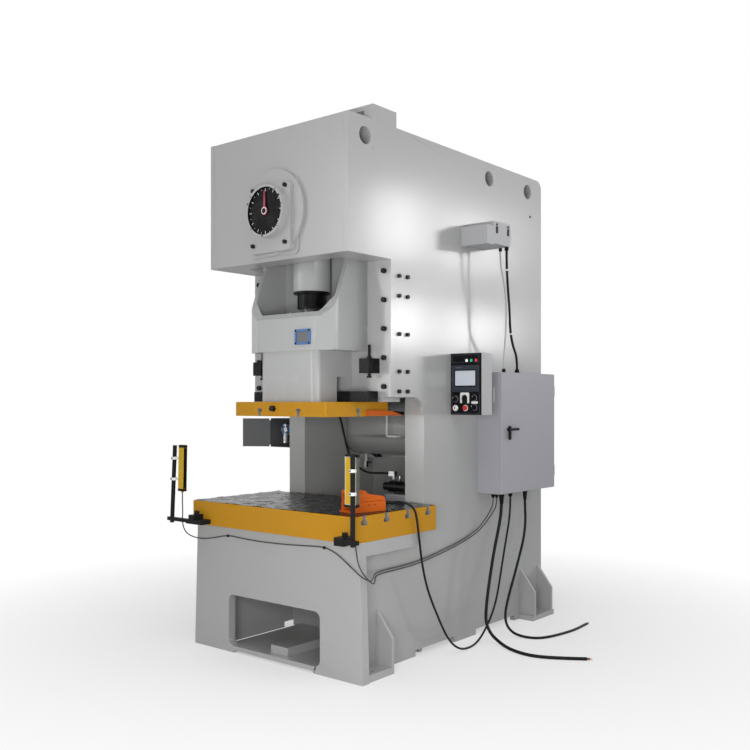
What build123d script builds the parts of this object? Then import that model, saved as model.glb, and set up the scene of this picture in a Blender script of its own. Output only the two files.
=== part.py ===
from build123d import *
from math import acos, atan2, cos, degrees, hypot, pi, radians, sin, sqrt, tan
import os

os.makedirs("parts", exist_ok=True)

# Gap-frame mechanical stamping press, single crank, about 160 t.
# Origin on the floor at the middle of the four anchor holes, +Z up, operator on the -Y side.
# All sizes in millimetres.

# Overall frame
ram_y = -750.0            # ram axis, measured from the middle of the anchor holes
rod_y = ram_y + 22.0  # axis of the rod, its screw, the bolster and the slide plate
frame_half = 568.0        # outer face of each side plate
side_plate = 36.0
head_front = ram_y - 290.0
frame_back = ram_y + 1834.0
frame_top = 3105.0
head_floor = 2339.0       # underside of the head
jaw_under = 1544.0        # underside of the gib jaws
throat_face = ram_y + 404.0
throat_radius = 100.0
top_corner_radius = 60.0
side_inner = frame_half - side_plate
plate = 30.0              # cross plates of the head
seat_gap = 0.3            # gap under soft or laid pieces
running_gap = 0.05        # radial clearance of turning and sliding fits
hair = 0.02

# Columns
column_half_gap = frame_half - 143.0
column_front_plate = 30.0
column_inner_plate = 24.0
column_back = ram_y + 835.0

# Bed and table
bed_front = ram_y - 313.0
bed_front_plate = 58.0
bed_half_floor = frame_half + 124.0
table_half = frame_half + 98.0
table_top = 758.0
table_thickness = 76.0
table_step_y = ram_y + 190.0
bed_window_half = frame_half - 190.0
bed_window_low = 40.0
bed_window_high = 348.0
bed_window_radius = 42.0
bed_skid_half = frame_half - 238.0
bed_skid_lift = 13.0
side_skid_lift = 36.0
skid_front_end = ram_y + 320.0
skid_pad_front = ram_y + 730.0
skid_pad_back = ram_y + 975.0
skid_rear_start = ram_y + 1463.0

# Feet and anchors
anchor_half_x = frame_half + 64.0
anchor_half_y = 915.0
anchor_hole = 36.0
foot_out = frame_half + 114.0
front_foot_back = ram_y - 29.0
front_foot_thickness = 40.0
rear_foot_front = ram_y + 1521.0
rear_foot_back = ram_y + 1815.0
rear_foot_thickness = 34.0
gusset_thickness = 20.0
gusset_high = 345.0
gusset_low = 197.0

# Lifting lug and holes
lug_front = ram_y - 78.0
lug_back = ram_y + 136.0
lug_top = frame_top + 89.0
lug_plate = 27.0
lift_hole = 100.0
lift_hole_z = frame_top - 105.0
lift_hole_y = (ram_y - 147.0, ram_y + 1137.0, ram_y + 1640.0)

# Gibs
gib_face = ram_y + 84.0
gib_plate = 40.0
gib_inner = frame_half - 177.0
guide_half = frame_half - 98.0
guide_front = gib_face + gib_plate
guide_back = guide_front + 170.0

# Bolster
bolster_half = frame_half + 97.0
bolster_depth = 740.0
bolster_top = table_top + 144.0
slot_pitch = 194.0
slot_neck = 28.0
slot_neck_depth = 26.0
slot_head = 50.0
slot_head_depth = 24.0
film_thickness = 1.2

# Slide
slide_half = frame_half - 193.0
slide_front = ram_y - 260.0
slide_back = ram_y + 305.0
slide_bottom = jaw_under - 113.0
slide_plate = 85.0
slide_slot_x = 160.0
cross_slot_y = rod_y
slide_slot_neck = 22.0
slide_slot_neck_depth = 30.0
slide_slot_head = 38.0
slide_slot_head_depth = 16.0
shank_bore = 60.0
shank_depth = 75.0
lower_body_half = frame_half - 334.0
lower_body_front = ram_y - 146.0
lower_body_top = jaw_under + 272.0
shell_half = frame_half - 212.0
shell_front = ram_y - 197.0
shell_wall = 30.0
shell_floor = 34.0
shell_front_top = jaw_under + 468.0
shell_corner = (118.0, 49.0)  # width and depth of the cut corner
shell_corner_radius = 28.0
shell_slope_low = (ram_y - 156.0, jaw_under + 518.0)
shell_slope_high = (ram_y - 46.0, jaw_under + 793.0)
slide_top = head_floor + 81.0
stroke = 180.0
shut_adjust = 80.0

# Knock-out
knock_slot_low = slide_bottom + slide_plate
knock_slot_high = jaw_under + 121.0
knock_bar_front = ram_y - 8.0
knock_bar_back = ram_y + 76.0
knock_bar_half = frame_half - 86.0
knock_bar_height = 62.0
knock_screw_x = frame_half - 122.0
knock_screw_y = ram_y + 36.0
knock_screw_low = jaw_under + 112.0
knock_screw_high = jaw_under + 304.0
knock_bracket_low = jaw_under + 139.0
knock_bracket_high = jaw_under + 224.0
knock_bracket_x = (frame_half - 161.0, frame_half - 82.0)

# Crank, connecting rod and adjusting screw
crank_z = head_floor + 279.0
throw = stroke / 2
journal_radius = 95.0
pin_radius = 98.0
pin_half = 78.0
web_thickness = 34.0
web_radius = 128.0
bush_wall = 18.0
boss_radius = 165.0
boss_depth = 120.0
big_end_wall = 42.0
big_end_half = 72.0
rod_radius = 115.0
rod_low = head_floor - 157.0
rod_shoulder = head_floor + 39.0
screw_radius = 62.0
screw_top = head_floor + 101.0
ball_radius = 84.0
ball_z = lower_body_top + 130.0
ball_neck_radius = 50.0
nut_radius = 86.0
nut_height = 88.0
nut_flange_radius = 110.0
nut_flange = 12.0

# Dial
dial_radius = 137.5
dial_ring_radius = 152.0
dial_front = ram_y - 379.0
dial_flange_half = 170.0
dial_flange_low = crank_z - 235.0
dial_flange_high = crank_z + 159.0
dial_flange_front = ram_y - 335.0
dial_pad_half = 200.0
dial_pad_low = crank_z - 254.0
dial_pad_high = crank_z + 190.0
dial_pad_thickness = 10.0
dial_recess = 14.0
dial_stub_radius = 16.0
boss_ring_radius = 252.0
boss_ring_thickness = 24.0

# Gears
gear_module = 12.0
main_teeth = 70
pinion_teeth = 14
tooth_thinning = 0.9
main_gear_front = ram_y + 500.0
main_gear_width = 130.0
pinion_front = ram_y + 490.0
pinion_width = 150.0
centre_distance = gear_module * (main_teeth + pinion_teeth) / 2
pinion_z = crank_z - centre_distance
pinion_shaft_radius = 45.0
middle_wall_front = throat_face
middle_wall_thickness = 50.0
rear_wall_front = ram_y + 880.0
rear_wall_thickness = 40.0
wall_low = 1900.0

# Flywheel, clutch, motor and belts
flywheel_radius = 490.0
flywheel_front = ram_y + 1280.0
flywheel_width = 210.0
groove_count = 5
groove_pitch = 32.0
groove_depth = 18.0
belt_thickness = 18.0
belt_width = 20.0
belt_gap = 0.6
clutch_radius = 260.0
clutch_depth = 110.0
pulley_radius = 112.0
motor_z = 1150.0
motor_radius = 165.0
motor_length = 300.0
motor_shaft_radius = 27.0

# Air tank
tank_radius = 200.0
tank_y = ram_y + 1040.0
tank_z = 1341.0
tank_half = frame_half - 44.0

# Electrical cabinet
cabinet_out = frame_half + 181.0
cabinet_front = ram_y + 996.0
cabinet_back = ram_y + 1701.0
cabinet_low = 919.0
cabinet_high = 1708.0
cabinet_wall = 4.0
door_thickness = 18.0
handle_y = ram_y + 1070.0
handle_z = 1337.0

# Operator box
box_out = frame_half + 227.0
box_front = ram_y + 689.0
box_back = ram_y + 808.0
box_low = 1435.0
box_high = 1818.0

# Light curtains, left and right: posts by foot place and lean, units by foot place and lean
post_low = 760.0
post_high = 1245.0
post_radius = 13.0
post_feet = {-1: (-bolster_half - 127.0, ram_y - 414.0), 1: (bolster_half + 57.0, ram_y - 430.0)}
post_lean = {-1: 29.0 / 485.0, 1: 0.0}
unit_feet = {-1: (-bolster_half - 27.0, ram_y - 414.0), 1: (bolster_half + 21.5, ram_y - 393.0)}
unit_lean = {-1: 0.026, 1: 0.0}
unit_size = {-1: (50.0, 30.0, 286.0), 1: (77.0, 30.0, 277.0)}
unit_low = {-1: 962.0, 1: 963.0}
unit_glands = {-1: (-bolster_half - 25.0, ram_y - 414.0), 1: (bolster_half + 16.0, ram_y - 390.0)}
unit_gland_low = 954.0
curtain_clamp_z = {-1: (1034.0, 1164.0), 1: (1037.0, 1158.0)}
clamp_jaws = {
    -1: ((-bolster_half + 25.0, -bolster_half + 165.0, 767.0, 794.0),
         (-bolster_half + 50.0, -bolster_half + 95.0, 794.0, 822.0)),
    1: ((bolster_half - 64.0, bolster_half + 3.0, 758.0, 802.0),),
}
clamp_knob = {-1: (-bolster_half + 72.0, 822.0), 1: (bolster_half - 34.0, 802.0)}

# Controls on the operator box: x, z and stem radius
screen_centre = (frame_half + 109.0, 1663.0)
lamp_x = (frame_half + 121.0, frame_half + 155.0, frame_half + 190.0)
lamp_z = 1772.0
control_places = {
    "selector_left": (frame_half + 37.0, 1534.0, 11.0),
    "selector_right": (frame_half + 175.0, 1541.0, 11.0),
    "key_switch": (frame_half + 105.0, 1541.0, 11.0),
    "run_button": (frame_half + 37.0, 1478.0, 11.0),
    "stop_button": (frame_half + 110.0, 1478.0, 11.0),
    "mode_selector": (frame_half + 177.0, 1483.0, 11.0),
}

# Cable glands: x, y, z of the face, cord radius and length (down or up)
cabinet_glands = (
    (frame_half + 150.0, ram_y + 1047, cabinet_low, 10.0, -24.0),
    (frame_half + 144.0, ram_y + 1355, cabinet_low, 8.5, -24.0),
    (frame_half + 144.0, ram_y + 1166, cabinet_low, 6.5, -24.0),
    (frame_half + 104.0, ram_y + 1018, cabinet_low, 3.5, -24.0),
    (frame_half + 122.0, ram_y + 1033, cabinet_low, 3.5, -24.0),
    (frame_half + 132.0, ram_y + 1272, cabinet_high, 8.0, 24.0),
    (frame_half + 132.0, ram_y + 1103, cabinet_high, 5.5, 24.0),
)
head_glands = ((frame_half + 174.0, ram_y + 1070, 8.0), (frame_half + 122.0, ram_y + 1078, 5.5))
connector_out = frame_half + 193.0

# Air box on the left side
air_box_out = -frame_half - 202.0
air_box_front = ram_y + 420.0
air_box_back = ram_y + 600.0
air_box_low = 1202.0
air_box_high = 1402.0
air_box_wall = 3.0
air_door_angle = 149.0

# Foot switch
foot_switch_x = bolster_half - 133.0
foot_switch_y = ram_y - 126.0
foot_switch_turn = 13.5
foot_switch_length = 240.0
foot_switch_width = 104.0
foot_housing_width = 112.0
foot_housing_high = 58.0
foot_switch_high = 122.0
foot_switch_step = 100.0
foot_switch_low = 84.0


def block(x, y, z, mode=Mode.ADD):
    """Rectangular plate or block between two values on each axis."""
    centre = ((x[0] + x[1]) / 2, (y[0] + y[1]) / 2, (z[0] + z[1]) / 2)
    with Locations(centre):
        Box(x[1] - x[0], y[1] - y[0], z[1] - z[0], mode=mode)


def rod_along(axis, centre, radius, length, mode=Mode.ADD):
    """Cylinder whose axis is X, Y or Z, centred on a point."""
    turn = {"X": (0, 90, 0), "Y": (90, 0, 0), "Z": (0, 0, 0)}[axis]
    with Locations(Location(centre, turn)):
        Cylinder(radius, length, mode=mode)


def shell_outline(inset):
    """Plan of the slide's shell with its cut front corners, drawn in by a wall."""
    run, rise = shell_corner
    slope = hypot(run, rise)
    half = shell_half - inset
    near = shell_half - run - inset * (slope - run) / rise
    side_y = shell_front + (inset * slope + (run - inset) * rise) / run
    half_plan = [(near, shell_front + inset), (half, side_y), (half, guide_front)]
    return half_plan + [(-x, y) for x, y in reversed(half_plan)]


def save(piece, label):
    """Label a finished piece and write its STEP file."""
    piece.part.label = label
    export_step(piece.part, f"parts/{label}.step")


# Side frames, each a welded side plate, column, feet and gussets
with BuildPart() as right_side_frame:
    with BuildSketch(Plane.YZ.offset(side_inner)) as side_outline:
        with BuildLine():
            Polyline(
                (bed_front + bed_front_plate, 0),
                (skid_front_end, 0),
                (skid_front_end, side_skid_lift),
                (skid_pad_front, side_skid_lift),
                (skid_pad_front, 0),
                (skid_pad_back, 0),
                (skid_pad_back, side_skid_lift),
                (skid_rear_start, side_skid_lift),
                (skid_rear_start, 0),
                (frame_back, 0),
                (frame_back, frame_top),
                (lug_back, frame_top),
                (lug_back, lug_top),
                (lug_front, lug_top),
                (lug_front, frame_top),
                (head_front, frame_top),
                (head_front, head_floor),
                (guide_front, head_floor),
                (guide_front, jaw_under),
                (throat_face, jaw_under),
                (throat_face, table_top),
                (table_step_y, table_top),
                (table_step_y, table_top - table_thickness),
                (bed_front + bed_front_plate, table_top - table_thickness),
                close=True,
            )
        make_face()
        fillet(side_outline.vertices().sort_by_distance((throat_face, jaw_under))[0], throat_radius)
        fillet(side_outline.vertices().sort_by_distance((frame_back, frame_top))[0], top_corner_radius)
        with Locations([(y, lift_hole_z) for y in lift_hole_y]):
            Circle(lift_hole / 2, mode=Mode.SUBTRACT)
    extrude(amount=side_plate)
    column_z = (0, head_floor)
    block((column_half_gap, side_inner), (throat_face, throat_face + column_front_plate), column_z)
    block((column_half_gap, column_half_gap + column_inner_plate), (throat_face, column_back), column_z)
    front_foot_y = (bed_front + bed_front_plate, front_foot_back)
    block((frame_half, foot_out), front_foot_y, (0, front_foot_thickness))
    block((frame_half, foot_out), (rear_foot_front, rear_foot_back), (0, rear_foot_thickness))
    for gusset_y in (front_foot_back - gusset_thickness, rear_foot_front + 20, rear_foot_back - 40):
        with BuildSketch(Plane.XZ.offset(-gusset_y - gusset_thickness)):
            with BuildLine():
                Polyline((frame_half, 0), (foot_out, 0), (foot_out, gusset_low), (frame_half, gusset_high), close=True)
            make_face()
        extrude(amount=gusset_thickness)
    for anchor_y in (-anchor_half_y, anchor_half_y):
        rod_along("Z", (anchor_half_x, anchor_y, 0), anchor_hole / 2, 4 * front_foot_thickness, Mode.SUBTRACT)
save(right_side_frame, "right_side_frame")

with BuildPart() as left_side_frame:
    mirror(right_side_frame.part, about=Plane.YZ)
save(left_side_frame, "left_side_frame")

# Bed: front plate with its window, floor plate, centre beam and rear cross plate
with BuildPart() as bed:
    with BuildSketch(Plane.XZ.offset(-bed_front - bed_front_plate)) as bed_outline:
        with BuildLine():
            Polyline(
                (-bed_half_floor, 0),
                (-bed_skid_half, 0),
                (-bed_skid_half + bed_skid_lift, bed_skid_lift),
                (bed_skid_half - bed_skid_lift, bed_skid_lift),
                (bed_skid_half, 0),
                (bed_half_floor, 0),
                (table_half, table_top),
                (-table_half, table_top),
                close=True,
            )
        make_face()
        with Locations((0, (bed_window_low + bed_window_high) / 2)):
            RectangleRounded(
                2 * bed_window_half, bed_window_high - bed_window_low, bed_window_radius, mode=Mode.SUBTRACT
            )
    extrude(amount=bed_front_plate)
    bed_inside_y = (bed_front + bed_front_plate, throat_face)
    block((-column_half_gap, column_half_gap), bed_inside_y, (bed_skid_lift, bed_skid_lift + 20))
    block((-70, 70), bed_inside_y, (bed_skid_lift + 20, bed_skid_lift + 70))
    block((-column_half_gap, column_half_gap), (throat_face - plate, throat_face), (0, table_top - table_thickness))
save(bed, "bed")

with BuildPart() as bed_table:
    with BuildSketch(Plane.XY.offset(table_top - table_thickness)):
        table_front = bed_front + bed_front_plate
        with Locations((0, (table_front + table_step_y) / 2)):
            Rectangle(2 * table_half, table_step_y - table_front)
        with Locations((0, (table_step_y + throat_face) / 2)):
            Rectangle(2 * side_inner, throat_face - table_step_y)
    extrude(amount=table_thickness)
save(bed_table, "bed_table")

# Head front plate with the bored boss of the front crank bearing
with BuildPart() as head_front_plate:
    block((-side_inner, side_inner), (head_front, head_front + 40), (head_floor, frame_top))
    rod_along("Y", (0, head_front + 40 + boss_depth / 2, crank_z), boss_radius, boss_depth)
    rod_along("Y", (0, head_front, crank_z), journal_radius + bush_wall + hair, 4 * boss_depth, Mode.SUBTRACT)
    edges_out = head_front_plate.edges().filter_by(GeomType.CIRCLE).group_by(Axis.Y)[-1]
    chamfer(edges_out, 6)
save(head_front_plate, "head_front_plate")

# Head floor with the window that the slide runs through
with BuildPart() as head_floor_plate:
    with BuildSketch(Plane.XY.offset(head_floor)) as floor_outline:
        floor_front = head_front + 40
        with Locations((0, (floor_front + throat_face) / 2)):
            Rectangle(2 * side_inner, throat_face - floor_front)
        with Locations((0, (ram_y - 140 + guide_front) / 2)):
            Rectangle(2 * shell_half + 50, guide_front - ram_y + 140, mode=Mode.SUBTRACT)
        with Locations((0, (guide_front + guide_back) / 2)):
            Rectangle(2 * guide_half + 12, guide_back - guide_front + 12, mode=Mode.SUBTRACT)
    extrude(amount=plate)
save(head_floor_plate, "head_floor_plate")

# Top plate, and the bridge plate across the two raised lugs
with BuildPart() as top_plate:
    block((-side_inner, side_inner), (head_front + 40, frame_back - top_corner_radius), (frame_top - plate, frame_top))
    block((-side_inner, side_inner), (lug_front, lug_back), (lug_top - lug_plate, lug_top))
    block((-side_inner, -side_inner + 30), (lug_front, lug_back), (frame_top, lug_top - lug_plate))
    block((side_inner - 30, side_inner), (lug_front, lug_back), (frame_top, lug_top - lug_plate))
save(top_plate, "top_plate")


# Cross walls that carry the crank tail and the pinion shaft, motor shelf and lower rear cover
with BuildPart() as cross_plates:
    with BuildSketch(Plane.XZ.offset(-middle_wall_front - middle_wall_thickness)):
        with Locations((0, (wall_low + head_floor) / 2)):
            Rectangle(2 * column_half_gap, head_floor - wall_low)
        with Locations((0, (head_floor + frame_top - plate) / 2)):
            Rectangle(2 * side_inner, frame_top - plate - head_floor)
        with Locations((0, crank_z)):
            Circle(journal_radius + bush_wall + hair, mode=Mode.SUBTRACT)
        with Locations((0, pinion_z)):
            Circle(pinion_shaft_radius + running_gap, mode=Mode.SUBTRACT)
    extrude(amount=middle_wall_thickness)
    with BuildSketch(Plane.XZ.offset(-rear_wall_front - rear_wall_thickness)):
        with Locations((0, (wall_low + frame_top - plate) / 2)):
            Rectangle(2 * side_inner, frame_top - plate - wall_low)
        with Locations((0, crank_z)):
            Circle(journal_radius + bush_wall + hair, mode=Mode.SUBTRACT)
        with Locations((0, pinion_z)):
            Circle(pinion_shaft_radius + running_gap, mode=Mode.SUBTRACT)
    extrude(amount=rear_wall_thickness)
    shelf_top = motor_z - motor_radius - 20
    block((-side_inner, side_inner), (flywheel_front + flywheel_width + 10, frame_back - 60), (shelf_top - 24, shelf_top))
    block((-side_inner, side_inner), (ram_y + 1250, ram_y + 1262), (table_top, 1110))
save(cross_plates, "cross_plates")

# Dished guard over the flywheel at the back
with BuildPart() as rear_guard:
    guard_low = pinion_z - flywheel_radius - 30
    block((-side_inner, side_inner), (frame_back - 90, frame_back - 20), (guard_low, frame_top - plate))
    guard_edges = rear_guard.edges().filter_by(Axis.Z).group_by(Axis.Y)[-1]
    fillet(guard_edges, 40)
    offset(amount=-3, openings=rear_guard.faces().sort_by(Axis.Y)[0])
    with BuildSketch(Plane.XZ.offset(-frame_back)):
        with Locations([(0, pinion_z - 160 + 40 * row) for row in range(9)]):
            SlotOverall(420, 12)
    extrude(amount=60, mode=Mode.SUBTRACT)
save(rear_guard, "rear_guard")

# Gib housings: front plate, side block and rear strip round the slide's guide flange
with BuildPart() as right_gib:
    with BuildSketch(Plane.XY.offset(jaw_under)):
        with BuildLine():
            Polyline(
                (gib_inner, gib_face),
                (frame_half, gib_face),
                (frame_half, guide_front),
                (side_inner, guide_front),
                (side_inner, throat_face),
                (gib_inner, throat_face),
                (gib_inner, guide_back + running_gap),
                (guide_half + running_gap, guide_back + running_gap),
                (guide_half + running_gap, guide_front - running_gap),
                (gib_inner, guide_front - running_gap),
                close=True,
            )
        make_face()
    extrude(amount=head_floor - jaw_under)
    gib_edges = right_gib.edges().filter_by(Axis.Z).group_by(Axis.Y)[0].sort_by(Axis.X)[0]
    chamfer(gib_edges, 6)

with BuildPart() as gibs:
    add(right_gib.part)
    mirror(right_gib.part, about=Plane.YZ)
save(gibs, "gibs")

# Bolster with four tee slots running left to right
with BuildPart() as bolster:
    with BuildSketch(Plane.YZ.offset(-bolster_half)):
        with Locations((rod_y, (table_top + bolster_top) / 2)):
            Rectangle(bolster_depth, bolster_top - table_top)
        for step in (-1.5, -0.5, 0.5, 1.5):
            with Locations((rod_y + step * slot_pitch, bolster_top - slot_neck_depth / 2)):
                Rectangle(slot_neck, slot_neck_depth, mode=Mode.SUBTRACT)
            with Locations((rod_y + step * slot_pitch, bolster_top - slot_neck_depth - slot_head_depth / 2)):
                RectangleRounded(slot_head, slot_head_depth, 5, mode=Mode.SUBTRACT)
    extrude(amount=2 * bolster_half)
save(bolster, "bolster")

film_z = bolster_top + seat_gap
with BuildPart() as protective_film:
    film_y = (rod_y - bolster_depth / 2 + 4, rod_y + bolster_depth / 2 - 4)
    block((-bolster_half + 5, bolster_half - 5), film_y, (film_z, film_z + film_thickness))
save(protective_film, "protective_film")

# Slide: tee-slotted plate, lower body, open shell and guide block, one casting
with BuildPart() as slide:
    with BuildSketch(Plane.XY.offset(slide_bottom)):
        with Locations((0, (slide_front + slide_back) / 2)):
            RectangleRounded(2 * slide_half, slide_back - slide_front, 10)
    extrude(amount=slide_plate)
    with BuildSketch(Plane.XY.offset(knock_slot_low)):
        with Locations((0, (lower_body_front + guide_front) / 2)):
            RectangleRounded(2 * lower_body_half, guide_front - lower_body_front + 80, 38)
    extrude(amount=lower_body_top - knock_slot_low)
    with BuildSketch(Plane.XY.offset(lower_body_top)) as shell_outer:
        with BuildLine():
            Polyline(*shell_outline(0), close=True)
        make_face()
        fillet([v for v in shell_outer.vertices() if v.Y < guide_front - 1], shell_corner_radius)
    extrude(amount=slide_top - lower_body_top)
    with BuildSketch(Plane.XY.offset(lower_body_top + shell_floor)) as shell_inner:
        with BuildLine():
            Polyline(*shell_outline(shell_wall), close=True)
        make_face()
        fillet([v for v in shell_inner.vertices() if v.Y < guide_front - 1], shell_corner_radius - shell_wall + 12)
    extrude(amount=slide_top, mode=Mode.SUBTRACT)
    with BuildSketch(Plane.YZ.offset(-shell_half - 50)):
        with BuildLine():
            Polyline(
                (shell_front - 50, shell_front_top),
                (shell_front + 14, shell_front_top),
                shell_slope_low,
                shell_slope_high,
                (shell_slope_high[0], slide_top + 50),
                (shell_front - 50, slide_top + 50),
                close=True,
            )
        make_face()
    extrude(amount=2 * shell_half + 100, mode=Mode.SUBTRACT)
    block((-guide_half, guide_half), (guide_front, guide_back), (knock_slot_low, slide_top))
    # hollow for the rod in the guide block, and the socket of the adjusting screw's ball
    socket_top = lower_body_top + shell_floor + 120
    hollow_radius = max(rod_radius, nut_flange_radius) + 10
    hollow_length = slide_top + 10 - socket_top
    rod_along("Z", (0, rod_y, socket_top + hollow_length / 2), hollow_radius, hollow_length, Mode.SUBTRACT)
    rod_along("Z", (0, rod_y, socket_top - 60), ball_radius + 34, 120)
    with BuildSketch(Plane.XZ.offset(-rod_y)) as ball_cut:
        with BuildLine():
            seat_radius = ball_radius + running_gap
            Line((0, ball_z - seat_radius), (0, ball_z + 150))
            Line((0, ball_z + 150), (seat_radius, ball_z + 150))
            Line((seat_radius, ball_z + 150), (seat_radius, ball_z))
            RadiusArc((seat_radius, ball_z), (0, ball_z - seat_radius), seat_radius)
        make_face()
    revolve(axis=Axis((0, rod_y, 0), (0, 0, 1)), mode=Mode.SUBTRACT)
    # knock-out slot right through the lower body
    block(
        (-lower_body_half - 10, lower_body_half + 10),
        (knock_bar_front - 1, knock_bar_back + 1),
        (knock_slot_low, knock_slot_high),
        Mode.SUBTRACT,
    )
    # tee slots in the underside
    for slot_x in (-slide_slot_x, slide_slot_x):
        length_y = (slide_front - 10, slide_back + 10)
        head_low = slide_bottom + slide_slot_neck_depth
        neck_x = (slot_x - slide_slot_neck / 2, slot_x + slide_slot_neck / 2)
        head_x = (slot_x - slide_slot_head / 2, slot_x + slide_slot_head / 2)
        block(neck_x, length_y, (slide_bottom - 1, head_low), Mode.SUBTRACT)
        block(head_x, length_y, (head_low, head_low + slide_slot_head_depth), Mode.SUBTRACT)
    # cross tee slot from side to side
    length_x = (-slide_half - 10, slide_half + 10)
    neck_y = (cross_slot_y - slide_slot_neck / 2, cross_slot_y + slide_slot_neck / 2)
    head_y = (cross_slot_y - slide_slot_head / 2, cross_slot_y + slide_slot_head / 2)
    block(length_x, neck_y, (slide_bottom - 1, head_low), Mode.SUBTRACT)
    block(length_x, head_y, (head_low, head_low + slide_slot_head_depth), Mode.SUBTRACT)
    rod_along("Z", (0, rod_y, slide_bottom), shank_bore / 2, 2 * shank_depth, Mode.SUBTRACT)
    # head of the shank clamp bolt
    with BuildSketch(Plane((-41, slide_front, slide_bottom + 46), (1, 0, 0), (0, -1, 0))):
        RegularPolygon(19, 6)
    extrude(amount=22)
save(slide, "slide")

with BuildPart() as knockout_bar:
    bar_z = (knock_slot_low + seat_gap, knock_slot_low + seat_gap + knock_bar_height)
    block((-knock_bar_half, knock_bar_half), (knock_bar_front, knock_bar_back), bar_z)
    chamfer(knockout_bar.edges().filter_by(Axis.Z), 5)
save(knockout_bar, "knockout_bar")

# Stops of the knock-out bar: a bracket, threaded rod and nuts at each side
with BuildPart() as knockout_stops:
    for side in (-1, 1):
        stop_x = sorted((side * knock_bracket_x[0], side * knock_bracket_x[1]))
        with BuildSketch(Plane.XY.offset(knock_bracket_low)):
            with Locations(((stop_x[0] + stop_x[1]) / 2, (ram_y - 12 + gib_face) / 2)):
                RectangleRounded(stop_x[1] - stop_x[0], gib_face - ram_y + 12, 4)
        extrude(amount=knock_bracket_high - knock_bracket_low)
        stop_at = (side * knock_screw_x, knock_screw_y)
        middle = (knock_screw_low + knock_screw_high) / 2
        rod_along("Z", (*stop_at, middle), 8, knock_screw_high - knock_screw_low)
        with BuildSketch(Plane.XY.offset(knock_screw_low)):
            with Locations(stop_at):
                RegularPolygon(15, 6)
        extrude(amount=13)
        with BuildSketch(Plane.XY.offset(knock_bracket_high)):
            with Locations(stop_at):
                RegularPolygon(15, 6)
        extrude(amount=13)
save(knockout_stops, "knockout_stops")


# Toothed wheels with involute flanks
def involute_point(base_radius, radius, start_angle, sign):
    """Point of an involute at a radius, as an angle from the tooth's middle."""
    pressure = acos(min(1.0, base_radius / radius))
    angle = start_angle - sign * (tan(pressure) - pressure)
    return radius * cos(angle), radius * sin(angle)


def tooth_outline(teeth, tip_height, root_depth, first_angle):
    """Closed outline of a toothed wheel, three points to each flank."""
    pitch_radius = gear_module * teeth / 2
    base_radius = pitch_radius * cos(radians(20))
    tip_radius = pitch_radius + tip_height
    root_radius = pitch_radius - root_depth
    half_tooth = (pi * gear_module / 2 - tooth_thinning) / 2 / pitch_radius
    involute_at_pitch = tan(radians(20)) - radians(20)
    low = max(base_radius, root_radius + 1)
    radii = (low, (low + tip_radius) / 2, tip_radius)
    points = []
    for tooth in range(teeth):
        middle = radians(first_angle) + 2 * pi * tooth / teeth
        flank_start = half_tooth + involute_at_pitch
        root_angle = middle - flank_start
        points.append((root_radius * cos(root_angle), root_radius * sin(root_angle)))
        for radius in radii:
            points.append(involute_point(base_radius, radius, middle - flank_start, -1))
        for radius in reversed(radii):
            points.append(involute_point(base_radius, radius, middle + flank_start, 1))
        root_angle = middle + flank_start
        points.append((root_radius * cos(root_angle), root_radius * sin(root_angle)))
    return points


with BuildPart() as main_gear:
    with BuildSketch(Plane((0, main_gear_front + main_gear_width, crank_z), (1, 0, 0), (0, -1, 0))):
        with BuildLine():
            Polyline(*tooth_outline(main_teeth, 0.8 * gear_module, 1.2 * gear_module, -90), close=True)
        make_face()
        Circle(journal_radius + hair, mode=Mode.SUBTRACT)
        with PolarLocations(255, 6):
            Circle(62, mode=Mode.SUBTRACT)
    extrude(amount=main_gear_width)
    rim_inner = gear_module * main_teeth / 2 - 50
    for web_face in (main_gear_front + 20, main_gear_front + main_gear_width - 20):
        with BuildSketch(Plane.XZ.offset(-web_face)):
            with Locations((0, crank_z)):
                Circle(rim_inner)
                Circle(journal_radius + 50, mode=Mode.SUBTRACT)
        extrude(amount=20, both=True, mode=Mode.SUBTRACT)
save(main_gear, "main_gear")

with BuildPart() as pinion_shaft:
    shaft_back = flywheel_front + flywheel_width + clutch_depth + 30
    shaft_y = (middle_wall_front + 4, shaft_back)
    rod_along("Y", (0, sum(shaft_y) / 2, pinion_z), pinion_shaft_radius, shaft_y[1] - shaft_y[0])
    with BuildSketch(Plane((0, pinion_front + pinion_width, pinion_z), (1, 0, 0), (0, -1, 0))):
        with BuildLine():
            first = 90 + 180 / pinion_teeth
            Polyline(*tooth_outline(pinion_teeth, gear_module, 1.15 * gear_module, first), close=True)
        make_face()
    extrude(amount=pinion_width)
save(pinion_shaft, "pinion_shaft")

# Crankshaft with one throw
with BuildPart() as crankshaft:
    crank_nose = head_front - 10
    crank_tail = rear_wall_front + rear_wall_thickness + 4
    pin_face = (rod_y - pin_half, rod_y + pin_half)
    front_web = pin_face[0] - web_thickness
    back_web = pin_face[1] + web_thickness
    rod_along("Y", (0, (crank_nose + front_web) / 2, crank_z), journal_radius, front_web - crank_nose)
    rod_along("Y", (0, (back_web + crank_tail) / 2, crank_z), journal_radius, crank_tail - back_web)
    rod_along("Y", (0, rod_y, crank_z + throw), pin_radius, 2 * pin_half)
    for web_back in (pin_face[0], back_web):
        with BuildSketch(Plane.XZ.offset(-web_back)):
            with Locations((0, crank_z), (0, crank_z + throw)):
                Circle(web_radius)
            make_hull()
        extrude(amount=web_thickness)
    rod_along("Y", (0, (dial_front + 3 + crank_nose) / 2, crank_z), dial_stub_radius, crank_nose - dial_front - 3)
save(crankshaft, "crankshaft")

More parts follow.
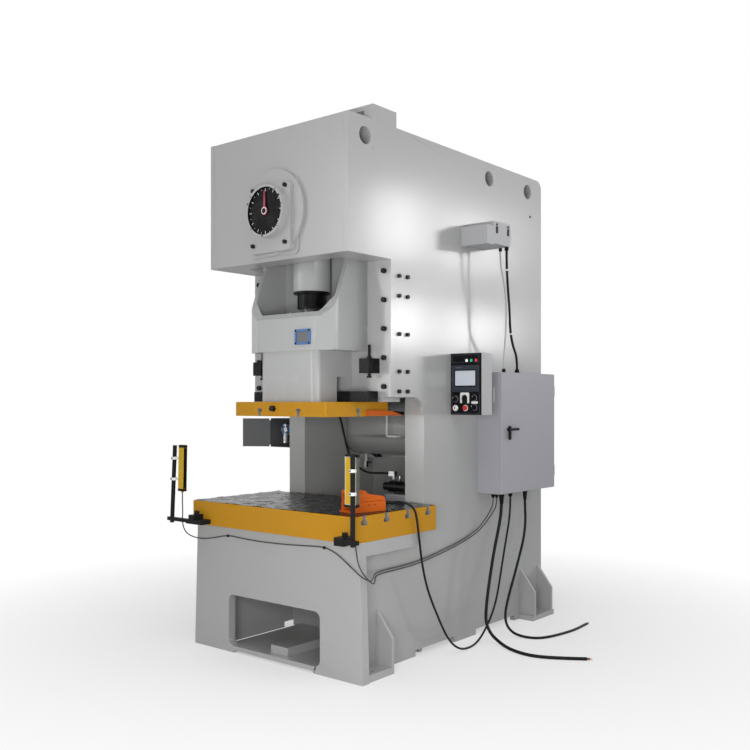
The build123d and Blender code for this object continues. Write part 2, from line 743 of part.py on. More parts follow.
with BuildPart() as crank_bearings:
    bush_y = (
        (head_front - 4, head_front + 40 + boss_depth),
        (middle_wall_front, middle_wall_front + middle_wall_thickness),
        (rear_wall_front, rear_wall_front + rear_wall_thickness),
    )
    for y0, y1 in bush_y:
        rod_along("Y", (0, (y0 + y1) / 2, crank_z), journal_radius + bush_wall, y1 - y0)
        rod_along("Y", (0, (y0 + y1) / 2, crank_z), journal_radius + running_gap, y1 - y0, Mode.SUBTRACT)
save(crank_bearings, "crank_bearings")

# Connecting rod; its big end is bored wide, clear of the crank pin all round
with BuildPart() as connecting_rod:
    big_end_bore = pin_radius + throw + 4
    big_end_radius = big_end_bore + big_end_wall
    big_end_z = crank_z + throw
    rod_along("Z", (0, rod_y, (rod_low + big_end_z) / 2), rod_radius, big_end_z - rod_low)
    for flat_side in (-1, 1):
        flat_y = sorted((rod_y + flat_side * big_end_half, rod_y + flat_side * 2 * rod_radius))
        block((-2 * rod_radius, 2 * rod_radius), flat_y, (rod_shoulder, big_end_z + rod_radius), Mode.SUBTRACT)
    rod_along("Y", (0, rod_y, big_end_z), big_end_radius, 2 * big_end_half)
    rod_along("Y", (0, rod_y, big_end_z), big_end_bore, 4 * rod_radius, Mode.SUBTRACT)
    with Locations((0, rod_y, rod_low)):
        Cylinder(
            screw_radius + running_gap,
            screw_top + 6 - rod_low,
            align=(Align.CENTER, Align.CENTER, Align.MIN),
            mode=Mode.SUBTRACT,
        )
save(connecting_rod, "connecting_rod")

with BuildPart() as lock_nut:
    with BuildSketch(Plane.XY.offset(rod_low - nut_flange - nut_height)):
        with Locations((0, rod_y)):
            Circle(nut_radius)
            with PolarLocations(nut_radius, 6):
                Rectangle(12, 22, mode=Mode.SUBTRACT)
    extrude(amount=nut_height)
    with Locations((0, rod_y, rod_low - nut_flange / 2)):
        Cylinder(nut_flange_radius, nut_flange)
    rod_along("Z", (0, rod_y, rod_low), screw_radius + running_gap, 4 * nut_height, Mode.SUBTRACT)
save(lock_nut, "lock_nut")

with BuildPart() as adjusting_screw:
    with BuildSketch(Plane.XZ.offset(-rod_y)):
        with BuildLine():
            neck_z = ball_z + sqrt(ball_radius**2 - ball_neck_radius**2)
            thread_low = ball_z + ball_radius + 26
            ThreePointArc((0, ball_z - ball_radius), (ball_radius, ball_z), (ball_neck_radius, neck_z))
            Polyline(
                (ball_neck_radius, neck_z),
                (ball_neck_radius, thread_low - 12),
                (screw_radius, thread_low),
                (screw_radius, screw_top),
                (0, screw_top),
                (0, ball_z - ball_radius),
            )
        make_face()
    revolve(axis=Axis((0, rod_y, 0), (0, 0, 1)))
save(adjusting_screw, "adjusting_screw")

# Crank-angle dial
with BuildPart() as dial_housing:
    flange_middle = (dial_flange_low + dial_flange_high) / 2
    pad_middle = (dial_pad_low + dial_pad_high) / 2
    with BuildSketch(Plane.XZ.offset(-head_front)) as pad:
        with Locations((0, pad_middle)):
            RectangleRounded(2 * dial_pad_half, dial_pad_high - dial_pad_low, 30)
    extrude(amount=dial_pad_thickness)
    with BuildSketch(Plane.XZ.offset(-head_front)):
        with Locations((0, crank_z)):
            Circle(boss_ring_radius)
    extrude(amount=boss_ring_thickness)
    with BuildSketch(Plane.XZ.offset(-head_front + dial_pad_thickness)):
        with Locations((0, flange_middle)):
            RectangleRounded(2 * dial_flange_half, dial_flange_high - dial_flange_low, 26)
    extrude(amount=head_front - dial_pad_thickness - dial_flange_front)
    with BuildSketch(Plane.XZ.offset(-dial_flange_front)):
        with Locations((0, crank_z)):
            Circle(dial_ring_radius)
    extrude(amount=dial_flange_front - dial_front)
    rod_along("Y", (0, dial_front, crank_z), dial_radius, 2 * dial_recess, Mode.SUBTRACT)
    rod_along("Y", (0, head_front, crank_z), dial_stub_radius + 2, 300, Mode.SUBTRACT)
    rod_along("Y", (0, head_front, crank_z), journal_radius + bush_wall + 6, 24, Mode.SUBTRACT)
    ring_edges = dial_housing.edges().filter_by(GeomType.CIRCLE).group_by(Axis.Y)[0]
    chamfer(ring_edges, 2)
save(dial_housing, "dial_housing")

with BuildPart() as dial_pointer:
    with BuildSketch(Plane((0, dial_front + 8, crank_z), (1, 0, 0), (0, -1, 0))):
        Circle(dial_stub_radius + 8)
        with BuildLine():
            Polyline((-9, 0), (9, 0), (3, dial_radius - 22), (-3, dial_radius - 22), close=True)
        make_face()
        Circle(dial_stub_radius + hair, mode=Mode.SUBTRACT)
    extrude(amount=5)
save(dial_pointer, "dial_pointer")

# Flywheel with vee grooves, on the pinion shaft
with BuildPart() as flywheel:
    with BuildSketch(Plane.YZ) as flywheel_section:
        with BuildLine():
            back = flywheel_front + flywheel_width
            outline = [(flywheel_front, pinion_shaft_radius + running_gap), (flywheel_front, 110)]
            outline += [(flywheel_front + 50, 130), (flywheel_front + 50, flywheel_radius - 90)]
            outline += [(flywheel_front, flywheel_radius - 70), (flywheel_front, flywheel_radius)]
            edge = flywheel_front + (flywheel_width - groove_pitch * groove_count) / 2
            for groove in range(groove_count):
                start = edge + groove * groove_pitch + (groove_pitch - belt_width) / 2 - 1
                outline += [
                    (start, flywheel_radius),
                    (start + 5, flywheel_radius - groove_depth),
                    (start + belt_width - 3, flywheel_radius - groove_depth),
                    (start + belt_width + 2, flywheel_radius),
                ]
            outline += [(back, flywheel_radius), (back, flywheel_radius - 70)]
            outline += [(back - 50, flywheel_radius - 90), (back - 50, 130), (back, 110)]
            outline += [(back, pinion_shaft_radius + running_gap)]
            Polyline(*[(y, pinion_z + r) for y, r in outline], close=True)
        make_face()
    revolve(axis=Axis((0, 0, pinion_z), (0, 1, 0)))
save(flywheel, "flywheel")

with BuildPart() as clutch_brake:
    clutch_front = flywheel_front + flywheel_width + 4
    rod_along("Y", (0, clutch_front + clutch_depth / 2, pinion_z), clutch_radius, clutch_depth)
    chamfer(clutch_brake.edges().filter_by(GeomType.CIRCLE), 12)
    rod_along("Y", (0, clutch_front, pinion_z), pinion_shaft_radius + hair, 4 * clutch_depth, Mode.SUBTRACT)
    with Locations(Location((0, clutch_front + clutch_depth, pinion_z), (90, 0, 0))):
        with PolarLocations(clutch_radius - 40, 12):
            Cylinder(11, 16)
save(clutch_brake, "clutch_brake")

# Motor on its shelf, pulley and belts
with BuildPart() as motor:
    motor_front = flywheel_front + flywheel_width + 20
    motor_back = motor_front + motor_length
    rod_along("Y", (0, (motor_front + motor_back) / 2, motor_z), motor_radius - 14, motor_length)
    with Locations(Location((0, (motor_front + motor_back) / 2, motor_z), (90, 0, 0))):
        with PolarLocations(motor_radius - 10, 28):
            Box(24, 4, motor_length - 90)
    rod_along("Y", (0, motor_front + 9, motor_z), motor_radius, 18)
    rod_along("Y", (0, motor_back - 30, motor_z), motor_radius, 60)
    block((-110, 110), (motor_front + 40, motor_back - 70), (motor_z - motor_radius - 20, motor_z - motor_radius + 40))
    block((80, 190), (motor_front + 90, motor_front + 200), (motor_z + 20, motor_z + 120))
    rod_along("Y", (0, motor_front - 100, motor_z), motor_shaft_radius, 204)
save(motor, "motor")

with BuildPart() as motor_pulley:
    with BuildSketch(Plane.YZ):
        with BuildLine():
            front = flywheel_front + 4
            back = flywheel_front + flywheel_width - 4
            outline = [(front, motor_shaft_radius + running_gap), (front, pulley_radius)]
            for groove in range(groove_count):
                start = edge + groove * groove_pitch + (groove_pitch - belt_width) / 2 - 1
                outline += [
                    (start, pulley_radius),
                    (start + 5, pulley_radius - groove_depth),
                    (start + belt_width - 3, pulley_radius - groove_depth),
                    (start + belt_width + 2, pulley_radius),
                ]
            outline += [(back, pulley_radius), (back, motor_shaft_radius + running_gap)]
            Polyline(*[(y, motor_z + r) for y, r in outline], close=True)
        make_face()
    revolve(axis=Axis((0, 0, motor_z), (0, 1, 0)))
save(motor_pulley, "motor_pulley")

with BuildPart() as drive_belts:
    for groove in range(groove_count):
        start = edge + groove * groove_pitch + (groove_pitch - belt_width) / 2 + 5
        with BuildSketch(Plane.XZ.offset(-start - belt_width + 11)):
            with Locations((0, pinion_z)):
                Circle(flywheel_radius + belt_gap)
            with Locations((0, motor_z)):
                Circle(pulley_radius + belt_gap)
            make_hull()
            offset(amount=-belt_thickness, mode=Mode.SUBTRACT)
        extrude(amount=belt_width - 11)
save(drive_belts, "drive_belts")

# Air tank with its inlet pipe and drain valve
with BuildPart() as air_tank:
    rod_along("X", (0, tank_y, tank_z), tank_radius, 2 * tank_half)
    fillet(air_tank.edges().filter_by(GeomType.CIRCLE), 70)
    inlet_front = tank_y - tank_radius - 28
    inlet_z = tank_z - 60
    with BuildLine() as inlet_line:
        FilletPolyline(
            (-45, rear_wall_front, wall_low + 60),
            (-45, inlet_front, wall_low + 60),
            (-45, inlet_front, inlet_z),
            (30, inlet_front, inlet_z),
            (30, tank_y - tank_radius + 25, inlet_z),
            radius=18,
        )
    with BuildSketch(Plane(inlet_line.line @ 0, z_dir=inlet_line.line % 0)):
        Circle(9)
    sweep(path=inlet_line.line)
    drain_x = -column_half_gap + 4
    rod_along("Z", (drain_x, tank_y, tank_z - tank_radius - 40), 10, 130)
    rod_along("Z", (drain_x, tank_y, tank_z - tank_radius - 78), 17, 44)
    block((drain_x, drain_x + 52), (tank_y - 6, tank_y + 6), (tank_z - tank_radius - 66, tank_z - tank_radius - 60))
    for end in (-1, 1):
        block(
            tuple(sorted((end * (side_inner - 152), end * side_inner))),
            (tank_y + 60, tank_y + 140),
            (tank_z - tank_radius - 30, tank_z - tank_radius + 60),
        )
save(air_tank, "air_tank")

# Lubrication pump on its reservoir, hung on the right column
with BuildPart() as lube_unit:
    reservoir_x = (150, column_half_gap)
    with BuildSketch(Plane.XY.offset(800)):
        with Locations((sum(reservoir_x) / 2, ram_y + 620)):
            RectangleRounded(reservoir_x[1] - reservoir_x[0], 150, 8)
    extrude(amount=125)
    rod_along("X", (250, ram_y + 600, 968), 36, 190)
    rod_along("X", (140, ram_y + 600, 968), 26, 60)
    block((205, 320), (ram_y + 575, ram_y + 625), (925, 950))
    for port in (185, 235):
        rod_along("Z", (port, ram_y + 600, 1015), 9, 50)
    block((150, 198), (ram_y + 585, ram_y + 615), (1036, 1066))
save(lube_unit, "lube_unit")

# Electrical cabinet, open on the door side
with BuildPart() as control_cabinet:
    door_seat = cabinet_out - door_thickness
    block((frame_half, door_seat), (cabinet_front, cabinet_back), (cabinet_low, cabinet_high))
    fillet(control_cabinet.edges().filter_by(Axis.X), 6)
    block(
        (frame_half + cabinet_wall, door_seat + 1),
        (cabinet_front + cabinet_wall, cabinet_back - cabinet_wall),
        (cabinet_low + cabinet_wall, cabinet_high - cabinet_wall),
        Mode.SUBTRACT,
    )
    for gland in cabinet_glands:
        rod_along("Z", (gland[0], gland[1], gland[2] + gland[4] / 2), gland[3] + 6, abs(gland[4]))
        with BuildSketch(Plane.XY.offset(gland[2] + min(0, gland[4]) / 2)):
            with Locations((gland[0], gland[1])):
                RegularPolygon(gland[3] + 10, 6)
        extrude(amount=10)
save(control_cabinet, "control_cabinet")

with BuildPart() as control_gear:
    panel_x = frame_half + cabinet_wall
    block((panel_x, panel_x + 3), (cabinet_front + 40, cabinet_back - 40), (cabinet_low + 60, cabinet_high - 60))
    for row_z, heights in ((cabinet_high - 260, 150), (cabinet_high - 460, 110), (cabinet_low + 120, 130)):
        for step in range(5):
            start = cabinet_front + 70 + step * 112
            block((panel_x + 3, panel_x + 78 - 8 * (step % 3)), (start, start + 92), (row_z, row_z + heights))
save(control_gear, "control_gear")

with BuildPart() as cabinet_door:
    block((door_seat + seat_gap, cabinet_out), (cabinet_front + 2, cabinet_back - 2), (cabinet_low + 2, cabinet_high - 2))
    fillet(cabinet_door.edges().filter_by(Axis.X), 6)
    fillet(cabinet_door.faces().sort_by(Axis.X)[-1].edges(), 4)
    block(
        (door_seat, cabinet_out - 3),
        (cabinet_front + 24, cabinet_back - 24),
        (cabinet_low + 24, cabinet_high - 24),
        Mode.SUBTRACT,
    )
    for hinge_z in (cabinet_low + 120, cabinet_high - 120):
        rod_along("Z", (cabinet_out - 9, cabinet_back + 3, hinge_z), 7, 70)
    rod_along("X", (cabinet_out - 1, handle_y, handle_z), 13, 6)
    rod_along("X", (cabinet_out, handle_y, handle_z), 6.1, 3 * door_thickness, Mode.SUBTRACT)
save(cabinet_door, "cabinet_door")

with BuildPart() as cabinet_handle:
    rod_along("X", (cabinet_out + 6, handle_y, handle_z), 6, 30)
    with BuildSketch(Plane.YZ.offset(cabinet_out + 12)):
        with Locations((handle_y, handle_z - 22)):
            SlotOverall(90, 20, rotation=90)
        with Locations((handle_y + 49.5, handle_z)):
            SlotOverall(125, 16)
    extrude(amount=12)
    rod_along("X", (cabinet_out + 7, handle_y, handle_z), 11, 10)
save(cabinet_handle, "cabinet_handle")

# Operator box with its screen, lamps and controls
with BuildPart() as operator_box:
    with BuildSketch(Plane.YZ.offset(frame_half)):
        with Locations(((box_front + box_back) / 2, (box_low + box_high) / 2)):
            RectangleRounded(box_back - box_front, box_high - box_low, 3)
    extrude(amount=box_out - frame_half)
    with BuildSketch(Plane.XZ.offset(-box_front)) as screen_bezel:
        with Locations(screen_centre):
            RectangleRounded(182, 150, 6)
            RectangleRounded(150, 92, 2, mode=Mode.SUBTRACT)
    extrude(amount=4)
    with BuildSketch(Plane.XZ.offset(-box_front)):
        with Locations([(x, lamp_z) for x in lamp_x]):
            Circle(9)
    extrude(amount=6)
    for control_x, control_z, stem in control_places.values():
        rod_along("Y", (control_x, box_front, control_z), stem + 0.2, 50, Mode.SUBTRACT)
save(operator_box, "operator_box")

for name, (control_x, control_z, stem) in control_places.items():
    with BuildPart() as control:
        rod_along("Y", (control_x, box_front + 6, control_z), stem, 22)
        if "button" in name:
            rod_along("Y", (control_x, box_front - 9, control_z), stem + 4, 8)
            chamfer(control.faces().sort_by(Axis.Y)[0].edges(), 1.5)
        else:
            rod_along("Y", (control_x, box_front - 8, control_z), stem + 5, 10)
            chamfer(control.faces().sort_by(Axis.Y)[0].edges(), 1.5)
            block(
                (control_x - 4, control_x + 4),
                (box_front - 23, box_front - 12),
                (control_z - stem - 4, control_z + stem + 4),
            )
    save(control, name)

# Connector box and latched hood on the side of the head
with BuildPart() as connector_box:
    hood_y = (ram_y + 887, ram_y + 1090)
    block((frame_half, connector_out), (ram_y + 806, ram_y + 887), (2507, 2627))
    with BuildSketch(Plane.YZ.offset(frame_half)):
        with Locations((sum(hood_y) / 2, (2517 + 2660) / 2)):
            RectangleRounded(hood_y[1] - hood_y[0], 143, 5)
    extrude(amount=connector_out - frame_half)
    for latch_y in (hood_y[0] + 32, hood_y[1] - 36):
        with BuildSketch(Plane.YZ.offset(connector_out)):
            with Locations((latch_y, 2606)):
                SlotOverall(46, 13, rotation=90)
        extrude(amount=7)
        rod_along("X", (connector_out + 3, latch_y, 2640), 6, 8)
    for gland in head_glands:
        rod_along("Z", (gland[0], gland[1], 2517 - 11), gland[2] + 5, 22)
save(connector_box, "connector_box")

# Air preparation box on the left side, its door and the unit inside
with BuildPart() as air_box:
    block((air_box_out, -frame_half), (air_box_front, air_box_back), (air_box_low, air_box_high))
    block(
        (air_box_out + air_box_wall, -frame_half - air_box_wall),
        (air_box_front - 1, air_box_back - air_box_wall),
        (air_box_low + air_box_wall, air_box_high - air_box_wall),
        Mode.SUBTRACT,
    )
save(air_box, "air_box")

with BuildPart() as air_box_door:
    door_long = -frame_half - air_box_out - 10
    hinge = (air_box_out, air_box_front - 5)
    open_way = (cos(radians(air_door_angle)), -sin(radians(air_door_angle)))
    door_plane = Plane((hinge[0], hinge[1], air_box_low + 2), x_dir=(open_way[0], open_way[1], 0), z_dir=(0, 0, 1))
    with BuildSketch(door_plane):
        with Locations((door_long / 2 + 4, 0)):
            Rectangle(door_long, 3)
    extrude(amount=air_box_high - air_box_low - 4)
    rod_along("Z", (hinge[0], hinge[1], (air_box_low + air_box_high) / 2), 4.5, air_box_high - air_box_low - 30)
save(air_box_door, "air_box_door")

with BuildPart() as air_service_unit:
    unit_y = ram_y + 500
    for bowl_x in (-frame_half - 132, -frame_half - 62):
        rod_along("Z", (bowl_x, unit_y, 1322), 26, 76)
        rod_along("Z", (bowl_x, unit_y, 1258), 20, 60)
    block((-frame_half - 167, -frame_half - air_box_wall), (unit_y - 12, unit_y + 12), (1310, 1334))
    rod_along("Y", (-frame_half - 97, unit_y - 22, 1324), 22, 30)
save(air_service_unit, "air_service_unit")

# Light curtains: clamps and posts, then the two units
def leaning(foot, lean, low):
    """Plane at the foot of a post or unit that leans along X."""
    length = hypot(lean, 1)
    return Plane((*foot, low), x_dir=(1 / length, 0, -lean / length), z_dir=(lean / length, 0, 1 / length))


with BuildPart() as curtain_posts:
    bolster_front = rod_y - bolster_depth / 2
    for side, (post_x, post_y) in post_feet.items():
        with BuildSketch(leaning((post_x, post_y), post_lean[side], post_low)):
            Circle(post_radius)
        extrude(amount=post_high - post_low)
        for jaw_low_x, jaw_high_x, jaw_low, jaw_high in clamp_jaws[side]:
            block((jaw_low_x, jaw_high_x), (post_y - 14, bolster_front), (jaw_low, jaw_high))
        knob_x, knob_z = clamp_knob[side]
        rod_along("Z", (knob_x, (post_y + bolster_front) / 2, knob_z + 10), 15, 22)
        arm_x = tuple(sorted((clamp_jaws[side][0][1 if side < 0 else 0], post_x + side * 34)))
        block(arm_x, (post_y - 12, post_y + 12), (post_low + 12, post_low + 34))
        for clamp_z in curtain_clamp_z[side]:
            clamp_x = post_x + post_lean[side] * (clamp_z - post_low)
            rod_along("Z", (clamp_x, post_y, clamp_z), post_radius + 7, 17)
            unit_x, unit_y = unit_feet[side]
            if side < 0:
                bar_end = unit_x - unit_size[side][0] / 2 + unit_lean[side] * (clamp_z - 6 - unit_low[side])
                block((clamp_x, bar_end), (post_y - 6, post_y + 6), (clamp_z - 6, clamp_z + 6))
            else:
                bar_end = unit_y - unit_size[side][1] / 2
                block((clamp_x - 25, clamp_x - 2), (post_y, bar_end), (clamp_z - 6, clamp_z + 6))
save(curtain_posts, "curtain_posts")

with BuildPart() as curtain_units:
    for side, unit_foot in unit_feet.items():
        unit_width, unit_depth, unit_length = unit_size[side]
        with BuildSketch(leaning(unit_foot, unit_lean[side], unit_low[side])):
            RectangleRounded(unit_width, unit_depth, 3)
        extrude(amount=unit_length)
        gland_length = unit_low[side] - unit_gland_low + 2
        rod_along("Z", (*unit_glands[side], unit_gland_low + gland_length / 2), 8, gland_length)
save(curtain_units, "curtain_units")

# Foot switch under its hood, lying on the bolster
foot_z = film_z + film_thickness + seat_gap
foot_way = (sin(radians(foot_switch_turn)), cos(radians(foot_switch_turn)), 0)
foot_across = (cos(radians(foot_switch_turn)), -sin(radians(foot_switch_turn)), 0)
foot_plane = Plane((foot_switch_x, foot_switch_y, foot_z), x_dir=foot_way, z_dir=foot_across)
half_foot = foot_switch_length / 2
with BuildPart() as foot_switch:
    with BuildSketch(foot_plane) as hood_side:
        with BuildLine():
            Polyline(
                (-half_foot, 0),
                (half_foot, 0),
                (half_foot, foot_switch_low - 14),
                (half_foot - 14, foot_switch_low),
                (3, foot_switch_step),
                (-21, foot_switch_high),
                (-half_foot + 14, foot_switch_high),
                (-half_foot + 14, 12),
                (-half_foot, 12),
                close=True,
            )
        make_face()
    extrude(amount=foot_switch_width / 2, both=True)
    with BuildSketch(foot_plane):
        with Locations((7, foot_housing_high / 2)):
            Rectangle(foot_switch_length - 14, foot_housing_high)
    extrude(amount=foot_housing_width / 2, both=True)
    with BuildSketch(foot_plane):
        with Locations((-half_foot / 2 - 32, 12 + (foot_switch_high - 16) / 2 - 4)):
            Rectangle(half_foot - 4, foot_switch_high - 28)
    extrude(amount=foot_switch_width / 2 - 8, both=True, mode=Mode.SUBTRACT)
    with BuildSketch(Plane(foot_plane.from_local_coords((half_foot + 9, 36, 0)), z_dir=foot_way)):
        Circle(12)
    extrude(amount=12, both=True)
save(foot_switch, "foot_switch")

pedal_hinge_u = -46.0
pedal_hinge_v = 26.0
with BuildPart() as foot_pedal:
    with BuildSketch(foot_plane):
        with BuildLine():
            Polyline(
                (pedal_hinge_u, pedal_hinge_v - 4),
                (pedal_hinge_u, pedal_hinge_v + 5),
                (-half_foot + 20, pedal_hinge_v + 17),
                (-half_foot + 20, pedal_hinge_v + 8),
                close=True,
            )
        make_face()
    extrude(amount=foot_switch_width / 2 - 12, both=True)
    with BuildSketch(foot_plane):
        with Locations((pedal_hinge_u, pedal_hinge_v)):
            Circle(5)
    extrude(amount=foot_switch_width / 2 - 8.05, both=True)
save(foot_pedal, "foot_pedal")

# Orange bar with a black tip along the right side of the slide plate
with BuildPart() as slide_side_bar:
    with BuildSketch(Plane.YZ.offset(slide_half)) as bar_outline:
        with BuildLine():
            Polyline(
                (ram_y + 92, slide_bottom + 4),
                (ram_y + 426, slide_bottom + 2),
                (ram_y + 426, slide_bottom + 25),
                (ram_y + 300, slide_bottom + 31),
                (ram_y + 92, slide_bottom + 37),
                close=True,
            )
        make_face()
        fillet(bar_outline.vertices(), 5)
    extrude(amount=24)
save(slide_side_bar, "slide_side_bar")

# Black screws of the head, gibs and slide
jaw_middle = (jaw_under + head_floor) / 2
adjuster_z = (head_floor - 90, head_floor - 206, jaw_middle - 30.5, jaw_under + 149, jaw_under + 33)
with BuildPart() as black_screws:
    for side in (-1, 1):
        for row in range(5):
            gib_bolt = (side * (frame_half - 47), gib_face - 9, jaw_under + 61 + row * (head_floor - jaw_under - 125) / 4)
            rod_along("Y", gib_bolt, 15, 18)
            for adjust_y in (156, 236):
                adjust = (side * (frame_half + 7), ram_y + adjust_y, adjuster_z[row])
                rod_along("X", adjust, 12, 14)
        for flange_z in (crank_z - 188, crank_z + 137):
            rod_along("Y", (side * 132, dial_flange_front - 7, flange_z), 12, 14)
save(black_screws, "black_screws")


# Cords, hoses and leads, each a plain tube of straight runs and tangent arcs
def corner_radii(points):
    """Radius at each inner point: 0.45 of the shorter run over the tangent of half the turn."""
    radii = []
    for before, here, after in zip(points, points[1:], points[2:]):
        run_in = Vector(*here) - Vector(*before)
        run_out = Vector(*after) - Vector(*here)
        half_turn = radians(run_in.get_angle(run_out)) / 2
        radii.append(0.45 * min(run_in.length, run_out.length) / tan(half_turn))
    return radii


def at_ram(points):
    """Route points, given from the ram axis, in the press's own frame."""
    return [(x, ram_y + y, z) for x, y, z in points]


foot_cable_end = [
    tuple(foot_plane.from_local_coords((half_foot + 21 + reach, 36, 0))) for reach in (50, 0)
]
cord_routes = {
    "supply_cable": (10.0, at_ram([
        (718, 1047, 895), (718, 1047, 815), (716, 1012, 695), (715, 964, 570), (713, 925, 435),
        (712, 893, 310), (713, 868, 200), (718, 860, 120), (750, 867, 54), (811, 861, 18),
        (880, 820, 10.4), (948, 780, 10.3), (1020, 753, 10.3), (1098, 741, 10.3), (1177, 757, 10.3),
        (1255, 797, 10.3), (1328, 842, 10.3), (1396, 888, 10.3),
    ])),
    "second_supply_cable": (8.5, at_ram([
        (712, 1355, 895), (712, 1355, 820), (714, 1362, 710), (716, 1332, 598), (716, 1278, 490),
        (715, 1222, 385), (715, 1167, 290), (715, 1119, 200), (716, 1092, 130), (732, 1085, 64),
        (780, 1087, 22), (850, 1091, 9.2), (915, 1104, 8.8), (957, 1140, 8.8), (982, 1200, 8.8),
        (1000, 1275, 8.8), (1013, 1358, 8.8), (1022, 1445, 8.8), (1021, 1535, 8.8), (1015, 1605, 8.8),
        (1012, 1664, 8.8),
    ])),
    "foot_switch_cable": (6.5, at_ram([
        (712, 1166, 895), (712, 1166, 820), (713, 1144, 715), (714, 1106, 610), (714, 1073, 505),
        (710, 1048, 400), (705, 1028, 305), (700, 1000, 215), (697, 952, 138), (697, 890, 76),
        (704, 815, 30), (714, 732, 8), (722, 645, 7), (724, 568, 18), (716, 505, 52),
        (708, 452, 108), (702, 405, 180), (697, 360, 260), (693, 312, 345), (691, 270, 430),
        (690, 238, 520), (690, 214, 610), (690, 198, 700), (690, 182, 780), (690, 169, 850),
        (686, 154, 902), (658, 132, 932), (616, 104, 944),
    ]) + foot_cable_end),
    "left_curtain_cable": (3.5, at_ram([
        (-690, -414, 954), (-690, -414, 894), (-708, -397, 832), (-724, -388, 775), (-721, -380, 724),
        (-698, -366, 688), (-655, -342, 669), (-600, -323, 664), (-535, -317, 673), (-460, -317, 689),
        (-376, -317, 705), (-290, -317, 701), (-185, -317, 696), (-65, -317, 695), (60, -317, 697.5),
        (190, -317, 703), (310, -317, 710), (419, -317, 716), (500, -318, 693), (575, -320, 652),
        (640, -322, 612), (686, -319, 584), (698, -288, 564), (694, -247, 551), (667, -202, 549),
        (632, -150, 551), (601, -104, 555), (583, -58, 559), (578, 10, 561), (577.2, 100, 561.5),
        (577, 205, 563), (577, 310, 567), (577, 415, 577), (577, 520, 591), (577, 625, 607),
        (577, 730, 624), (577, 830, 645), (578, 920, 669), (584, 984, 696), (607, 1016, 744),
        (642, 1020, 796), (672, 1018, 848), (672, 1018, 895),
    ])),
    "right_curtain_cable": (3.5, at_ram([
        (681, -390, 954), (681, -390, 894), (694, -393, 826), (708, -391, 762), (706, -380, 710),
        (698, -360, 664), (700, -336, 620), (710, -308, 580), (714, -272, 550), (705, -234, 536),
        (675, -192, 533), (638, -146, 535.5), (604, -101, 540), (583.5, -54, 543.5), (578, 12, 545.5),
        (577.2, 102, 546), (577, 206, 547.5), (577, 311, 551.5), (577, 416, 561), (577, 521, 575),
        (577, 626, 591), (577, 731, 608), (577, 832, 629), (579, 925, 653), (588, 992, 684),
        (612, 1028, 730), (652, 1034, 786), (690, 1033, 842), (690, 1033, 895),
    ])),
    "head_cable_black": (8.0, at_ram([
        (742, 1070, 2495), (742, 1070, 2410), (733, 1098, 2270), (728, 1130, 2120), (727, 1138, 1985),
        (716, 1192, 1882), (700, 1272, 1814), (700, 1272, 1732),
    ])),
    "head_cable_grey": (5.5, at_ram([
        (690, 1078, 2495), (690, 1078, 2410), (704, 1104, 2290), (710, 1119, 2160), (709, 1120, 2030),
        (706, 1112, 1905), (700, 1103, 1805), (700, 1103, 1732),
    ])),
    "lube_hose": (7.0, at_ram([
        (-300, 429, 1900), (-300, 429, 1810), (-296, 462, 1700), (-289, 514, 1590), (-280, 562, 1485),
        (-270, 600, 1380), (-256, 616, 1280), (-232, 620, 1190), (-190, 619, 1122), (-130, 614, 1078),
        (-60, 606, 1050), (10, 601, 1046), (80, 600, 1051), (150, 600, 1051),
    ])),
}
for name, (cord_radius, route) in cord_routes.items():
    radii = corner_radii(route)
    with BuildPart() as cord:
        with BuildLine() as cord_line:
            FilletPolyline(*route, radius=radii)
        with BuildSketch(Plane(cord_line.line @ 0, z_dir=cord_line.line % 0)):
            Circle(cord_radius)
        sweep(path=cord_line.line)
    cord_length = sum(edge.length for edge in cord_line.edges())
    expected = pi * cord_radius**2 * cord_length
    print(name, "length", round(cord_length), "volume ratio", round(cord.part.volume / expected, 4))
    print("  radii", [round(radius) for radius in radii])
    save(cord, name)
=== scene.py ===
import math
from functools import partial

import bmesh
import bpy
from mathutils import Matrix, Vector, noise


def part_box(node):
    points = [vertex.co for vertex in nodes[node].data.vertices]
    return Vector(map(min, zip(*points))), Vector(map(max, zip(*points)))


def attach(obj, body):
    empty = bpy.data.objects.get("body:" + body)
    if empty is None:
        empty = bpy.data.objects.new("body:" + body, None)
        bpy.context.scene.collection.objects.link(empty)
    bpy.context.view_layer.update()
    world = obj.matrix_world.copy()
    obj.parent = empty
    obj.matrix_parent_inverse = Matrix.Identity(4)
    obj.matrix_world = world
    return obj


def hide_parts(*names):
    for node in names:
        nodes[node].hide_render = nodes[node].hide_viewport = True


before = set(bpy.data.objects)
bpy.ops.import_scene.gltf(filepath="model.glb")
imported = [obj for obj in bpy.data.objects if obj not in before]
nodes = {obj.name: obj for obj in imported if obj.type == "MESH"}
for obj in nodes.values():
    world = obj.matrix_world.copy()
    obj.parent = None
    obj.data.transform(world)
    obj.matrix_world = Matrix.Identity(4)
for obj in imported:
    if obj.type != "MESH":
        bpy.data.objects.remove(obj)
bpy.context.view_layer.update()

# Places that several pieces share, in metres
RAM_Y = -0.75
ROD_Y = -0.728
CRANK_Z = 2.618
DIAL_FRONT = RAM_Y - 0.379
BOX_FRONT = RAM_Y + 0.689
PANEL_FACE = BOX_FRONT - 0.0008
SIDE_X = 0.568
BED_FRONT = RAM_Y - 0.313
BOLSTER_TOP = 0.902
SLIDE_PLATE_TOP = 1.5165
TANK_Y, TANK_Z = RAM_Y + 1.040, 1.341
LAMP_Z = 1.772
LAMPS = (("lamp_white", 0.689), ("lamp_green", 0.723), ("lamp_red", 0.758))
FORWARD, UP = (0, -1, 0), (0, 0, 1)


def at_ram(points):
    """Points whose y is measured from the ram's axis, in millimetres, as places in metres."""
    return [(x / 1000, RAM_Y + y / 1000, z / 1000) for x, y, z in points]


